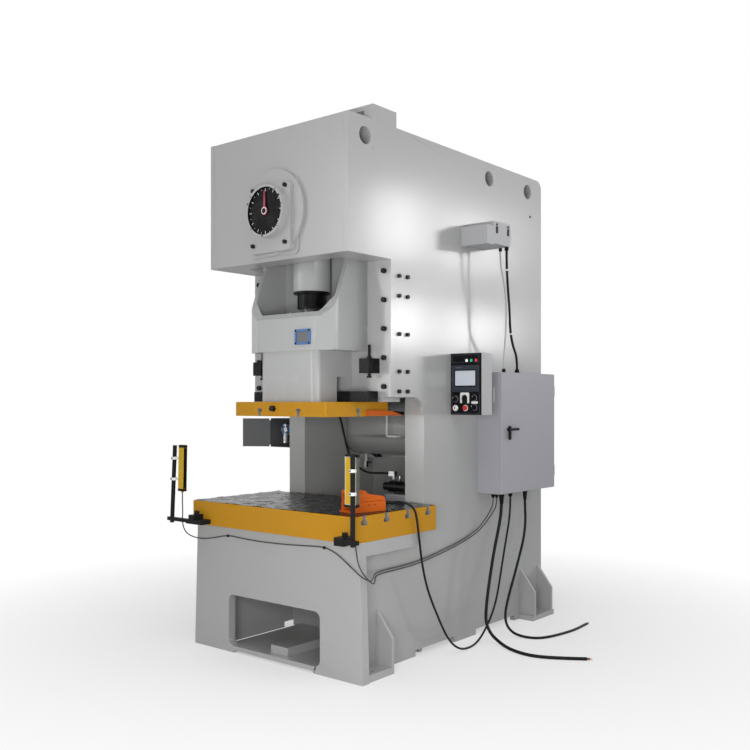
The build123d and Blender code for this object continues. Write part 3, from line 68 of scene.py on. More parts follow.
# ---- Materials: shared surface effects as node groups ----
def new_group(name, *inputs):
    """A node group: inputs are (name, kind, default); it gives out the first of them, Roughness and Height."""
    group = bpy.data.node_groups.new(name, "ShaderNodeTree")
    for label, kind, value in inputs:
        socket = group.interface.new_socket(label, in_out="INPUT", socket_type=kind)
        socket.default_value = value
    group.interface.new_socket(inputs[0][0], in_out="OUTPUT", socket_type="NodeSocketColor")
    for label in ("Roughness", "Height"):
        group.interface.new_socket(label, in_out="OUTPUT", socket_type="NodeSocketFloat")
    source = group.nodes.new("NodeGroupInput")
    sink = group.nodes.new("NodeGroupOutput")
    return group, source.outputs, sink.inputs


def feed(tree, socket, value):
    """Give a socket a number, a colour or another node's output."""
    if isinstance(value, (int, float)):
        socket.default_value = value
    elif isinstance(value, tuple):
        socket.default_value = (*value, 1.0)
    else:
        tree.links.new(value, socket)


def noise_node(tree, coords, scale, detail=3.0, roughness=0.5):
    """Noise over coordinates."""
    node = tree.nodes.new("ShaderNodeTexNoise")
    for name, value in (("Vector", coords), ("Scale", scale), ("Detail", detail), ("Roughness", roughness)):
        feed(tree, node.inputs[name], value)
    return node.outputs["Fac"]


def ranged(tree, value, low, high, to_low, to_high):
    """Map a value from one range to another, clamped."""
    node = tree.nodes.new("ShaderNodeMapRange")
    for socket, number in zip(("From Min", "From Max", "To Min", "To Max"), (low, high, to_low, to_high)):
        node.inputs[socket].default_value = number
    tree.links.new(value, node.inputs["Value"])
    return node.outputs["Result"]


def math_node(tree, operation, first, second):
    """Two values joined by one operation."""
    node = tree.nodes.new("ShaderNodeMath")
    node.operation = operation
    feed(tree, node.inputs[0], first)
    feed(tree, node.inputs[1], second)
    return node.outputs[0]


def mix_colour(tree, factor, first, second):
    """Two colours mixed by a factor."""
    node = tree.nodes.new("ShaderNodeMix")
    node.data_type = "RGBA"
    for name, value in (("Factor", factor), ("A", first), ("B", second)):
        feed(tree, [s for s in node.inputs if s.name == name and (name == "Factor" or s.type == "RGBA")][0], value)
    return [s for s in node.outputs if s.type == "RGBA"][0]


def object_coords(tree):
    return tree.nodes.new("ShaderNodeTexCoord").outputs["Object"]


def enamel_group():
    """Sprayed enamel: slow tone change, orange peel, dust on what faces up."""
    tree, given, result = new_group(
        "sprayed_enamel",
        ("Paint", "NodeSocketColor", (0.5, 0.5, 0.5, 1)),
        ("Roughness", "NodeSocketFloat", 0.25),
        ("Dust", "NodeSocketFloat", 0.2),
        ("Peel", "NodeSocketFloat", 30.0),
    )
    coords = object_coords(tree)
    tone = ranged(tree, noise_node(tree, coords, 1.7, 4.0), 0.0, 1.0, 0.0, 0.05)
    shaded = mix_colour(tree, tone, given["Paint"], (0.30, 0.30, 0.31))
    surface = tree.nodes.new("ShaderNodeNewGeometry")
    split = tree.nodes.new("ShaderNodeSeparateXYZ")
    tree.links.new(surface.outputs["Normal"], split.inputs[0])
    upward = ranged(tree, split.outputs["Z"], 0.55, 0.98, 0.0, 1.0)
    specks = noise_node(tree, coords, 38.0, 6.0, 0.65)
    dust = math_node(tree, "MULTIPLY", math_node(tree, "MULTIPLY", upward, specks), given["Dust"])
    tree.links.new(mix_colour(tree, dust, shaded, (0.42, 0.40, 0.37)), result["Paint"])
    smear = ranged(tree, noise_node(tree, coords, 2.6), 0.0, 1.0, 0.0, 0.05)
    rough = math_node(tree, "ADD", given["Roughness"], smear)
    rough = math_node(tree, "ADD", rough, math_node(tree, "MULTIPLY", dust, 0.5))
    tree.links.new(rough, result["Roughness"])
    tree.links.new(noise_node(tree, coords, given["Peel"], 2.0), result["Height"])
    return tree


def machined_group():
    """Cut metal: fine lines along one way, with oil stains."""
    tree, given, result = new_group(
        "machined_metal",
        ("Metal", "NodeSocketColor", (0.5, 0.5, 0.5, 1)),
        ("Roughness", "NodeSocketFloat", 0.35),
        ("Lines", "NodeSocketVector", (1.0, 1.0, 60.0)),
    )
    coords = object_coords(tree)
    scaled = tree.nodes.new("ShaderNodeVectorMath")
    scaled.operation = "MULTIPLY"
    tree.links.new(coords, scaled.inputs[0])
    tree.links.new(given["Lines"], scaled.inputs[1])
    lines = noise_node(tree, scaled.outputs[0], 24.0)
    stain = noise_node(tree, coords, 7.0, 6.0, 0.65)
    oiled = mix_colour(tree, ranged(tree, stain, 0.4, 0.75, 0.0, 0.3), given["Metal"], (0.13, 0.11, 0.09))
    streaked = mix_colour(tree, ranged(tree, lines, 0.35, 0.65, 0.0, 0.25), oiled, (0.75, 0.75, 0.75))
    tree.links.new(streaked, result["Metal"])
    rough = math_node(tree, "ADD", given["Roughness"], ranged(tree, lines, 0.3, 0.7, -0.08, 0.12))
    tree.links.new(rough, result["Roughness"])
    tree.links.new(lines, result["Height"])
    return tree


def moulded_group():
    """Moulded plastic, rubber and sheath: fine grain with slight handling marks."""
    tree, given, result = new_group(
        "moulded_skin",
        ("Skin", "NodeSocketColor", (0.1, 0.1, 0.1, 1)),
        ("Roughness", "NodeSocketFloat", 0.5),
        ("Grain", "NodeSocketFloat", 500.0),
    )
    coords = object_coords(tree)
    marks = noise_node(tree, coords, 22.0, 5.0, 0.6)
    worn = mix_colour(tree, ranged(tree, marks, 0.45, 0.75, 0.0, 0.04), given["Skin"], (0.32, 0.31, 0.30))
    tree.links.new(worn, result["Skin"])
    rough = math_node(tree, "ADD", given["Roughness"], ranged(tree, marks, 0.3, 0.7, -0.06, 0.08))
    tree.links.new(rough, result["Roughness"])
    tree.links.new(noise_node(tree, coords, given["Grain"], 2.0), result["Height"])
    return tree


GROUPS = {"enamel": enamel_group(), "machined": machined_group(), "moulded": moulded_group()}
FIRST = {"enamel": "Paint", "machined": "Metal", "moulded": "Skin"}
COAT_ROUGHNESS = 0.14


def finish_material(
    kind, name, colour, roughness, bump, distance=0.0004, metallic=0.0, coat=0.0, specular=0.5, **group_values
):
    """A Principled material whose colour, roughness and relief come from one shared effect."""
    material = bpy.data.materials.new(name)
    material.use_nodes = True
    tree = material.node_tree
    shader = tree.nodes["Principled BSDF"]
    effect = tree.nodes.new("ShaderNodeGroup")
    effect.node_tree = GROUPS[kind]
    effect.inputs[FIRST[kind]].default_value = (*colour, 1.0)
    effect.inputs["Roughness"].default_value = roughness
    for socket, value in group_values.items():
        effect.inputs[socket].default_value = value
    tree.links.new(effect.outputs[FIRST[kind]], shader.inputs["Base Color"])
    tree.links.new(effect.outputs["Roughness"], shader.inputs["Roughness"])
    relief = tree.nodes.new("ShaderNodeBump")
    relief.inputs["Strength"].default_value = bump
    relief.inputs["Distance"].default_value = distance
    tree.links.new(effect.outputs["Height"], relief.inputs["Height"])
    tree.links.new(relief.outputs["Normal"], shader.inputs["Normal"])
    shader.inputs["Metallic"].default_value = metallic
    shader.inputs["Specular IOR Level"].default_value = specular
    if coat:
        shader.inputs["Coat Weight"].default_value = coat
        shader.inputs["Coat Roughness"].default_value = COAT_ROUGHNESS
    material.diffuse_color = (*colour, 1.0)
    return material


def glowing(name, colour, strength):
    """A lit lens or screen: a Principled material with a weak emission of its own."""
    material = finish_material("moulded", name, colour, 0.2, 0.02, 0.0001, coat=0.5)
    shader = material.node_tree.nodes["Principled BSDF"]
    shader.inputs["Emission Color"].default_value = (*colour, 1.0)
    shader.inputs["Emission Strength"].default_value = strength
    return material


enamel = partial(finish_material, "enamel")
machined = partial(finish_material, "machined")
moulded = partial(finish_material, "moulded")
BLACK = (0.006, 0.006, 0.007)
# Each line: name, colour, roughness, strength and depth in metres of the relief
M = {
    "frame": enamel(
        "frame_enamel", (0.36, 0.362, 0.357), 0.26, 0.4, 0.0006, coat=0.6, specular=0.4, Dust=0.05
    ),
    "casting": enamel(
        "slide_enamel", (0.39, 0.393, 0.393), 0.24, 0.4, 0.0010, coat=0.6, specular=0.4, Dust=0.04, Peel=22.0
    ),
    "yellow": enamel("bolster_enamel", (0.47, 0.222, 0.004), 0.38, 0.3, specular=0.12, Dust=0.0),
    "cabinet": enamel("cabinet_coat", (0.34, 0.337, 0.372), 0.38, 0.3, specular=0.3, Dust=0.04, Peel=260.0),
    "box_side": enamel("operator_box_coat", (0.40, 0.40, 0.41), 0.36, 0.3, specular=0.3, Dust=0.04, Peel=260.0),
    "dark_box": enamel("air_box_coat", (0.085, 0.087, 0.09), 0.42, 0.3, Dust=0.2, Peel=260.0),
    "curtain": enamel("curtain_coat", (0.54, 0.33, 0.015), 0.40, 0.2, specular=0.12, Dust=0.0, Peel=300.0),
    "orange": enamel("foot_switch_coat", (0.56, 0.105, 0.006), 0.40, 0.35, specular=0.12, Dust=0.0, Peel=180.0),
    "black_enamel": enamel("black_enamel", BLACK, 0.36, 0.2, specular=0.08, Dust=0.0),
    "white_enamel": enamel("white_enamel", (0.74, 0.74, 0.72), 0.35, 0.2, Dust=0.1),
    "blue_plate": enamel("blue_plate", (0.03, 0.13, 0.36), 0.35, 0.2, Dust=0.0),
    "red_enamel": enamel("pointer_red", (0.33, 0.018, 0.04), 0.35, 0.1, Dust=0.0),
    "rod_steel": enamel("rod_enamel", (0.42, 0.425, 0.425), 0.32, 0.3, coat=0.2, Dust=0.1),
    "steel": machined("turned_steel", (0.55, 0.55, 0.56), 0.28, 0.15, metallic=1.0),
    # Bare steel of the tee slots, made darker as painted shade for the shadow inside the slots
    "slot_steel_painted_shade": machined("slot_steel_painted_shade", (0.26, 0.26, 0.255), 0.5, 0.2, metallic=0.2),
    "iron": machined("cut_iron", (0.30, 0.30, 0.31), 0.42, 0.3, metallic=0.9),
    "plate_silver": machined("brushed_plate", (0.62, 0.63, 0.65), 0.33, 0.1, metallic=0.9),
    "bronze": machined("bearing_bronze", (0.52, 0.33, 0.12), 0.30, 0.15, metallic=1.0),
    "copper": machined("copper_core", (0.72, 0.34, 0.18), 0.28, 0.15, metallic=1.0),
    "black_steel": moulded("oiled_black_steel", BLACK, 0.30, 0.12, specular=0.12),
    "black_plastic": moulded("black_moulding", BLACK, 0.42, 0.15, 0.0002, specular=0.08),
    "dial_black": moulded("dial_face", BLACK, 0.25, 0.05, 0.0001, specular=0.08),
    "slate": moulded("panel_slate", (0.036, 0.040, 0.052), 0.38, 0.1, 0.0002, specular=0.15),
    "lens_green": moulded("curtain_side", (0.055, 0.07, 0.062), 0.35, 0.1, 0.0002),
    "grey_plastic": moulded("grey_moulding", (0.12, 0.12, 0.13), 0.45, 0.15, 0.0002),
    "white_plastic": moulded("white_moulding", (0.72, 0.72, 0.70), 0.35, 0.1, 0.0002),
    "red_plastic": moulded("red_moulding", (0.60, 0.015, 0.015), 0.28, 0.1, 0.0002),
    "blue_plastic": moulded("blue_moulding", (0.02, 0.16, 0.42), 0.35, 0.1, 0.0002),
    "tick_white": moulded("tick_white", (0.80, 0.80, 0.78), 0.5, 0.05, 0.0001),
    "sheath": moulded("cable_sheath", (0.008, 0.008, 0.009), 0.40, 0.3, 0.0003, specular=0.15, Grain=900.0),
    "thin_sheath": moulded("thin_sheath", (0.035, 0.035, 0.038), 0.42, 0.3, 0.0003, Grain=900.0),
    "grey_sheath": moulded("grey_sheath", (0.44, 0.44, 0.45), 0.45, 0.3, 0.0003, Grain=900.0),
    "belt": moulded("belt_rubber", (0.02, 0.02, 0.02), 0.65, 0.5, 0.0005),
    "film": moulded("crinkled_film", (0.010, 0.010, 0.012), 0.24, 0.2, 0.0005, specular=0.3, Grain=60.0),
    "screen": glowing("lit_screen", (0.42, 0.45, 0.50), 0.25),
    "lamp_white": glowing("white_lamp", (0.80, 0.82, 0.80), 0.4),
    "lamp_green": glowing("green_lamp", (0.02, 0.45, 0.22), 0.25),
    "lamp_red": glowing("red_lamp", (0.62, 0.03, 0.06), 0.25),
}


# ---- Camera: the photograph's view ----
camera_data = bpy.data.cameras.new("camera")
camera_data.sensor_width = 36.0
camera_data.lens = 43.45
camera_data.shift_y = 0.034
camera_data.clip_end = 200.0
camera = bpy.data.objects.new("camera", camera_data)
camera.location = (3.806, -4.748, 1.5245)
camera.rotation_euler = (math.radians(90), 0, math.radians(39.43))
bpy.context.scene.collection.objects.link(camera)
bpy.context.scene.camera = camera
bpy.context.scene.view_settings.view_transform = "Standard"


# ---- Making pieces ----
def link(piece, material, body="frame"):
    """Put a piece in the scene, give it its finish and let it ride on its body."""
    bpy.context.scene.collection.objects.link(piece)
    piece.data.materials.append(M[material])
    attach(piece, body)
    return piece


def piece_from(name, form, material, body="frame", smooth=True, bevel=0.0, angle=35):
    """Turn a bmesh into a piece, with edges rounded where asked."""
    bmesh.ops.recalc_face_normals(form, faces=form.faces)
    mesh = bpy.data.meshes.new(name)
    form.to_mesh(mesh)
    form.free()
    piece = bpy.data.objects.new(name, mesh)
    link(piece, material, body)
    if bevel:
        round_edges(piece, bevel, angle)
    if smooth:
        shade(piece, angle)
    return piece


def shade(piece, angle):
    """Smooth shading that keeps edges sharper than an angle."""
    mesh = piece.data
    mesh.polygons.foreach_set("use_smooth", [True] * len(mesh.polygons))
    mesh.set_sharp_from_angle(angle=math.radians(angle))


def round_edges(piece, width, angle):
    """Small rounding of every sharp edge."""
    modifier = piece.modifiers.new("rounding", "BEVEL")
    modifier.width = width
    modifier.segments = 2
    modifier.limit_method = "ANGLE"
    modifier.angle_limit = math.radians(angle)
    modifier.harden_normals = False
    modifier.miter_outer = "MITER_ARC"


def turned(way, place):
    """A turn and move that stands a form made along +Z along a way, at a place."""
    turn = Vector(UP).rotation_difference(way).to_matrix().to_4x4()
    return Matrix.Translation(Vector(place)) @ turn


def axis_frame(axis, centre):
    """The same for an axis such as 'y' or '-y'."""
    way = {"x": (1, 0, 0), "y": (0, 1, 0), "z": (0, 0, 1)}[axis[-1]]
    return turned(Vector(way) * (-1 if axis[0] == "-" else 1), centre)


def facing(normal, up, origin):
    """A frame on a wall: Z along the wall's normal, Y along up."""
    z = Vector(normal).normalized()
    y = Vector(up).normalized()
    x = y.cross(z)
    turn = Matrix((x, y, z)).transposed().to_4x4()
    return Matrix.Translation(Vector(origin)) @ turn


def clock(degrees):
    """The way that a clock's hand points, seen from the front."""
    way = math.radians(degrees)
    return Vector((math.sin(way), 0, math.cos(way)))


def add_lathe(form, profile, frame_matrix, sides=32, closed=True):
    """Turn a profile of (radius, height) about an axis and add it to a form."""
    rings = []
    for radius, height in profile:
        if radius < 1e-6:
            rings.append([form.verts.new(frame_matrix @ Vector((0, 0, height)))])
            continue
        ring = []
        for step in range(sides):
            way = 2 * math.pi * step / sides
            place = Vector((radius * math.cos(way), radius * math.sin(way), height))
            ring.append(form.verts.new(frame_matrix @ place))
        rings.append(ring)
    for low, high in zip(rings, rings[1:]):
        for here in range(sides):
            there = (here + 1) % sides
            corners = [low[here % len(low)], low[there % len(low)], high[there % len(high)], high[here % len(high)]]
            corners = [v for k, v in enumerate(corners) if v not in corners[:k]]
            if len(corners) > 2:
                form.faces.new(corners)
    if closed:
        for ring in (rings[0], rings[-1]):
            if len(ring) > 2:
                form.faces.new(ring)


def add_prism(form, outline, frame_matrix, low, high):
    """Raise a flat outline of (x, y) from one height to another and add it to a form."""
    bottom = [form.verts.new(frame_matrix @ Vector((x, y, low))) for x, y in outline]
    top = [form.verts.new(frame_matrix @ Vector((x, y, high))) for x, y in outline]
    form.faces.new(list(reversed(bottom)))
    form.faces.new(top)
    count = len(outline)
    for step in range(count):
        after = (step + 1) % count
        form.faces.new([bottom[step], bottom[after], top[after], top[step]])


def rounded_outline(width, height, radius, steps=5, centre=(0.0, 0.0)):
    """Corner-rounded rectangle as (x, y) points."""
    points = []
    for quarter, (sx, sy) in enumerate(((1, 1), (-1, 1), (-1, -1), (1, -1))):
        for step in range(steps + 1):
            way = math.pi / 2 * (quarter + step / steps)
            points.append((
                centre[0] + sx * (width / 2 - radius) + radius * math.cos(way),
                centre[1] + sy * (height / 2 - radius) + radius * math.sin(way),
            ))
    return points


def add_plate(form, width, height, thickness, radius, frame_matrix, steps=5):
    """A rounded plate that lies on a frame's own plane and rises by its thickness."""
    add_prism(form, rounded_outline(width, height, radius, steps), frame_matrix, 0.0, thickness)


def nurbs_line(name, points, radius):
    """A round cord along control points, as one open NURBS spline."""
    curve = bpy.data.curves.new(name, "CURVE")
    curve.dimensions = "3D"
    curve.bevel_depth = 1.0
    curve.bevel_resolution = 6
    curve.resolution_u = 10
    curve.use_fill_caps = True
    spline = curve.splines.new("NURBS")
    spline.points.add(len(points) - 1)
    for control, place in zip(spline.points, points):
        control.co = (*place, 1.0)
        control.radius = radius
    spline.order_u = 3
    spline.use_endpoint_u = True
    return bpy.data.objects.new(name, curve)


def centreline(piece):
    """Points along a cord's own line, as the curve gives them with no bevel."""
    curve = piece.data
    depth, curve.bevel_depth = curve.bevel_depth, 0.0
    curve.use_fill_caps = False
    mesh = bpy.data.meshes.new_from_object(piece)
    points = [v.co.copy() for v in mesh.vertices]
    bpy.data.meshes.remove(mesh)
    curve.bevel_depth = depth
    curve.use_fill_caps = True
    return points


# ---- Cords: sheath, diameter, length, far end, stiffness, route ----
FOOT_TURN = math.radians(13.5)
FOOT_WAY = Vector((math.sin(FOOT_TURN), math.cos(FOOT_TURN), 0))
FOOT_ACROSS = Vector((math.cos(FOOT_TURN), -math.sin(FOOT_TURN), 0))
FOOT_PLACE = Vector((0.532, RAM_Y - 0.126, 0.9038))


def on_foot(along, across, up):
    """A place on the foot switch, in metres from the middle of its sole."""
    return FOOT_PLACE + FOOT_WAY * along + FOOT_ACROSS * across + Vector((0, 0, up))


CORDS = {
    "supply_cable": ("sheath", 0.020, 1.591, "bare", "stiff", at_ram([
        (718, 1047, 895), (718, 1047, 815), (716, 1012, 695), (715, 964, 570), (713, 925, 435),
        (712, 893, 310), (713, 868, 200), (718, 860, 120), (750, 867, 54), (811, 861, 18),
        (880, 820, 10.4), (948, 780, 10.3), (1020, 753, 10.3), (1098, 741, 10.3), (1177, 757, 10.3),
        (1255, 797, 10.3), (1328, 842, 10.3), (1396, 888, 10.3),
    ])),
    "second_supply_cable": ("sheath", 0.017, 1.678, "bare", "stiff", at_ram([
        (712, 1355, 895), (712, 1355, 820), (714, 1362, 710), (716, 1332, 598), (716, 1278, 490),
        (715, 1222, 385), (715, 1167, 290), (715, 1119, 200), (716, 1092, 130), (732, 1085, 64),
        (780, 1087, 22), (850, 1091, 9.2), (915, 1104, 8.8), (957, 1140, 8.8), (982, 1200, 8.8),
        (1000, 1275, 8.8), (1013, 1358, 8.8), (1022, 1445, 8.8), (1021, 1535, 8.8), (1015, 1605, 8.8),
        (1012, 1664, 8.8),
    ])),
    "foot_switch_cable": ("sheath", 0.013, 2.429, "object", "medium", at_ram([
        (712, 1166, 895), (712, 1166, 820), (713, 1144, 715), (714, 1106, 610), (714, 1073, 505),
        (710, 1048, 400), (705, 1028, 305), (700, 1000, 215), (697, 952, 138), (697, 890, 76),
        (704, 815, 30), (714, 732, 8), (722, 645, 7), (724, 568, 18), (716, 505, 52),
        (708, 452, 108), (702, 405, 180), (697, 360, 260), (693, 312, 345), (691, 270, 430),
        (690, 238, 520), (690, 214, 610), (690, 198, 700), (690, 182, 780), (690, 169, 850),
        (686, 154, 902), (658, 132, 932), (616, 104, 944),
    ]) + [tuple(on_foot(0.191, 0, 0.036)), tuple(on_foot(0.141, 0, 0.036))]),
    "left_curtain_cable": ("thin_sheath", 0.007, 3.295, "object", "limp", at_ram([
        (-690, -414, 954), (-690, -414, 894), (-708, -397, 832), (-724, -388, 775), (-721, -380, 724),
        (-698, -366, 688), (-655, -342, 669), (-600, -323, 664), (-535, -317, 673), (-460, -317, 689),
        (-376, -317, 705), (-290, -317, 701), (-185, -317, 696), (-65, -317, 695), (60, -317, 697.5),
        (190, -317, 703), (310, -317, 710), (419, -317, 716), (500, -318, 693), (575, -320, 652),
        (640, -322, 612), (686, -319, 584), (698, -288, 564), (694, -247, 551), (667, -202, 549),
        (632, -150, 551), (601, -104, 555), (583, -58, 559), (578, 10, 561), (577.2, 100, 561.5),
        (577, 205, 563), (577, 310, 567), (577, 415, 577), (577, 520, 591), (577, 625, 607),
        (577, 730, 624), (577, 830, 645), (578, 920, 669), (584, 984, 696), (607, 1016, 744),
        (642, 1020, 796), (672, 1018, 848), (672, 1018, 895),
    ])),
    "right_curtain_cable": ("thin_sheath", 0.007, 2.014, "object", "limp", at_ram([
        (681, -390, 954), (681, -390, 894), (694, -393, 826), (708, -391, 762), (706, -380, 710),
        (698, -360, 664), (700, -336, 620), (710, -308, 580), (714, -272, 550), (705, -234, 536),
        (675, -192, 533), (638, -146, 535.5), (604, -101, 540), (583.5, -54, 543.5), (578, 12, 545.5),
        (577.2, 102, 546), (577, 206, 547.5), (577, 311, 551.5), (577, 416, 561), (577, 521, 575),
        (577, 626, 591), (577, 731, 608), (577, 832, 629), (579, 925, 653), (588, 992, 684),
        (612, 1028, 730), (652, 1034, 786), (690, 1033, 842), (690, 1033, 895),
    ])),
    "head_cable_black": ("sheath", 0.016, 0.814, "object", "medium", at_ram([
        (742, 1070, 2495), (742, 1070, 2410), (733, 1098, 2270), (728, 1130, 2120), (727, 1138, 1985),
        (716, 1192, 1882), (700, 1272, 1814), (700, 1272, 1732),
    ])),
    "head_cable_grey": ("grey_sheath", 0.011, 0.768, "object", "medium", at_ram([
        (690, 1078, 2495), (690, 1078, 2410), (704, 1104, 2290), (710, 1119, 2160), (709, 1120, 2030),
        (706, 1112, 1905), (700, 1103, 1805), (700, 1103, 1732),
    ])),
    "lube_hose": ("sheath", 0.014, 1.187, "object", "medium", at_ram([
        (-300, 429, 1900), (-300, 429, 1810), (-296, 462, 1700), (-289, 514, 1590), (-280, 562, 1485),
        (-270, 600, 1380), (-256, 616, 1280), (-232, 620, 1190), (-190, 619, 1122), (-130, 614, 1078),
        (-60, 606, 1050), (10, 601, 1046), (80, 600, 1051), (150, 600, 1051),
    ])),
}
cord_lines = {}
for name, (sheath, diameter, length, far_end, stiffness, route) in CORDS.items():
    cord = nurbs_line(name + "_line", route, diameter / 2)
    link(cord, sheath)
    cord_lines[name] = centreline(cord)
    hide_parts(name)


# ---- Floor, world and lights ----
def build_floor():
    """A pale round floor that keeps the shadow near the press and fades to white farther out."""
    form = bmesh.new()
    centre = form.verts.new((0, 0, 0))
    ring = [
        form.verts.new((40 * math.cos(math.pi * step / 32), 40 * math.sin(math.pi * step / 32), 0))
        for step in range(64)
    ]
    for step in range(64):
        form.faces.new([centre, ring[step], ring[(step + 1) % 64]])
    mesh = bpy.data.meshes.new("floor")
    form.to_mesh(mesh)
    form.free()
    floor = bpy.data.objects.new("floor", mesh)
    bpy.context.scene.collection.objects.link(floor)
    material = bpy.data.materials.new("pale_floor")
    material.use_nodes = True
    tree = material.node_tree
    shader = tree.nodes["Principled BSDF"]
    shader.inputs["Base Color"].default_value = (0.86, 0.86, 0.86, 1)
    shader.inputs["Roughness"].default_value = 0.7
    glow = tree.nodes.new("ShaderNodeEmission")
    glow.inputs["Strength"].default_value = 1.0
    mixer = tree.nodes.new("ShaderNodeMixShader")
    path = tree.nodes.new("ShaderNodeLightPath")
    distance = tree.nodes.new("ShaderNodeVectorMath")
    distance.operation = "LENGTH"
    tree.links.new(object_coords(tree), distance.inputs[0])
    far = ranged(tree, distance.outputs["Value"], 1.2, 3.6, 0.45, 1.0)
    seen = math_node(tree, "MULTIPLY", path.outputs["Is Camera Ray"], far)
    tree.links.new(seen, mixer.inputs[0])
    tree.links.new(shader.outputs[0], mixer.inputs[1])
    tree.links.new(glow.outputs[0], mixer.inputs[2])
    tree.links.new(mixer.outputs[0], tree.nodes["Material Output"].inputs["Surface"])
    mesh.materials.append(material)


def build_world():
    """Weak even light, with plain white for the camera, mirrors and glass."""
    world = bpy.data.worlds.new("studio")
    bpy.context.scene.world = world
    world.use_nodes = True
    tree = world.node_tree
    light = tree.nodes["Background"]
    light.inputs["Color"].default_value = (0.96, 0.98, 1.0, 1)
    light.inputs["Strength"].default_value = 0.27
    white = tree.nodes.new("ShaderNodeBackground")
    white.inputs["Color"].default_value = (1, 1, 1, 1)
    path = tree.nodes.new("ShaderNodeLightPath")
    seen = math_node(tree, "MAXIMUM", path.outputs["Is Camera Ray"], path.outputs["Is Glossy Ray"])
    seen = math_node(tree, "MAXIMUM", seen, path.outputs["Is Transmission Ray"])
    mixer = tree.nodes.new("ShaderNodeMixShader")
    tree.links.new(seen, mixer.inputs[0])
    tree.links.new(light.outputs[0], mixer.inputs[1])
    tree.links.new(white.outputs[0], mixer.inputs[2])
    tree.links.new(mixer.outputs[0], tree.nodes["World Output"].inputs["Surface"])


def soft_light(name, place, target, size, power, mirrored):
    """A broad lamp: it either lights surfaces or is only seen mirrored in them, in watts."""
    data = bpy.data.lights.new(name, "AREA")
    data.shape = "RECTANGLE"
    data.size, data.size_y = size
    data.energy = power
    light = bpy.data.objects.new(name, data)
    light.location = place
    light.rotation_euler = (Vector(target) - Vector(place)).to_track_quat("-Z", "Y").to_euler()
    light.visible_camera = False
    light.visible_glossy = mirrored
    light.visible_diffuse = not mirrored
    bpy.context.scene.collection.objects.link(light)


build_floor()
build_world()
soft_light("overhead", (1.5, -2.0, 7.5), (0.2, 0.0, 1.2), (6.0, 6.0), 195, False)
soft_light("side_fill", (7.0, 2.0, 4.5), (0.5, 0.3, 1.6), (5.0, 4.0), 84, False)
soft_light("front_fill", (-2.5, -7.0, 3.0), (0.0, -0.8, 1.4), (4.0, 4.0), 26, False)
soft_light("throat_fill", (3.0, -4.4, 1.3), (0.0, 0.2, 1.15), (1.6, 1.4), 120, False)
# The hall's windows, as the photograph shows them on the painted side: y, z, width, height
WINDOWS = ((8.9, 4.9, 1.5, 1.3), (11.6, 4.9, 2.4, 1.3), (8.9, 3.0, 1.5, 0.9), (11.6, 3.0, 2.4, 0.9))
for number, (y, z, width, height) in enumerate(WINDOWS):
    soft_light(f"window_{number}", (8.0, y, z), (0.0, y, z), (width, height), 88, True)
soft_light("front_window_left", (-4.6, -8.0, 2.8), (0.0, -1.0, 1.8), (0.9, 4.4), 115, True)
soft_light("front_window_right", (8.2, -3.2, 2.8), (0.3, -1.0, 1.8), (0.8, 4.4), 95, True)


# ---- CAD nodes that stay: finishes by face ----
def finish_node(name, base, rules=(), bevel=0.0, angle=40):
    """Give a CAD node its finish; each rule is (material, test of a face's centre and normal)."""
    piece = nodes[name]
    mesh = piece.data
    mesh.materials.clear()
    order = [base]
    for material, _ in rules:
        if material not in order:
            order.append(material)
    for material in order:
        mesh.materials.append(M[material])
    for face in mesh.polygons:
        index = 0
        for material, test in rules:
            if test(face.center, face.normal):
                index = order.index(material)
        face.material_index = index
    weld = piece.modifiers.new("weld", "WELD")
    weld.merge_threshold = 0.00002
    if bevel:
        round_edges(piece, bevel, angle)


WELDED_FRAME = (
    "right_side_frame", "left_side_frame", "bed", "bed_table", "head_front_plate", "head_floor_plate", "top_plate",
    "cross_plates", "rear_guard",
)
for name in WELDED_FRAME:
    finish_node(name, "frame", bevel=0.0025)
PLAIN_FINISHES = {
    "protective_film": "film", "knockout_bar": "black_steel", "knockout_stops": "black_steel", "main_gear": "iron",
    "pinion_shaft": "steel", "crank_bearings": "bronze", "lock_nut": "black_steel", "adjusting_screw": "steel",
    "dial_pointer": "red_enamel", "flywheel": "frame", "clutch_brake": "cabinet", "motor": "cabinet",
    "motor_pulley": "iron", "drive_belts": "belt", "cabinet_handle": "black_plastic",
    "selector_left": "black_plastic", "selector_right": "black_plastic", "key_switch": "black_plastic",
    "mode_selector": "black_plastic", "foot_pedal": "black_plastic", "run_button": "white_plastic",
    "stop_button": "red_plastic", "air_box": "dark_box", "air_box_door": "dark_box", "black_screws": "black_steel",
}
for name, material in PLAIN_FINISHES.items():
    finish_node(name, material)
finish_node("gibs", "frame", [
    ("iron", lambda c, n: 0.3905 < abs(c.x) < 0.4708 and RAM_Y + 0.1239 < c.y < RAM_Y + 0.3),
])
finish_node("bolster", "yellow", [
    # Tee slot faces: bare steel, darker as painted shade for the shadow in the slots
    ("slot_steel_painted_shade", lambda c, n: 0.84 < c.z < BOLSTER_TOP - 0.0002 and abs(n.x) < 0.5 and abs(c.y - ROD_Y) < 0.365),
])
finish_node("slide", "casting", [
    ("yellow", lambda c, n: c.z < SLIDE_PLATE_TOP),
    # Tee slot faces: bare steel, darker as painted shade for the shadow in the slots
    ("slot_steel_painted_shade", lambda c, n: c.z < 1.4776 and 0.135 < abs(c.x) < 0.182 and abs(n.y) < 0.5),
    ("slot_steel_painted_shade", lambda c, n: 1.4315 < c.z < 1.4776 and abs(c.y - ROD_Y) < 0.0195 and abs(n.x) < 0.5),
    ("black_steel", lambda c, n: c.y < RAM_Y - 0.2605 and c.z < SLIDE_PLATE_TOP),
], bevel=0.004, angle=25)
finish_node("slide_side_bar", "orange", [("black_plastic", lambda c, n: c.y > RAM_Y + 0.305)])
finish_node("crankshaft", "steel", [("black_steel", lambda c, n: c.y < DIAL_FRONT + 0.02)])
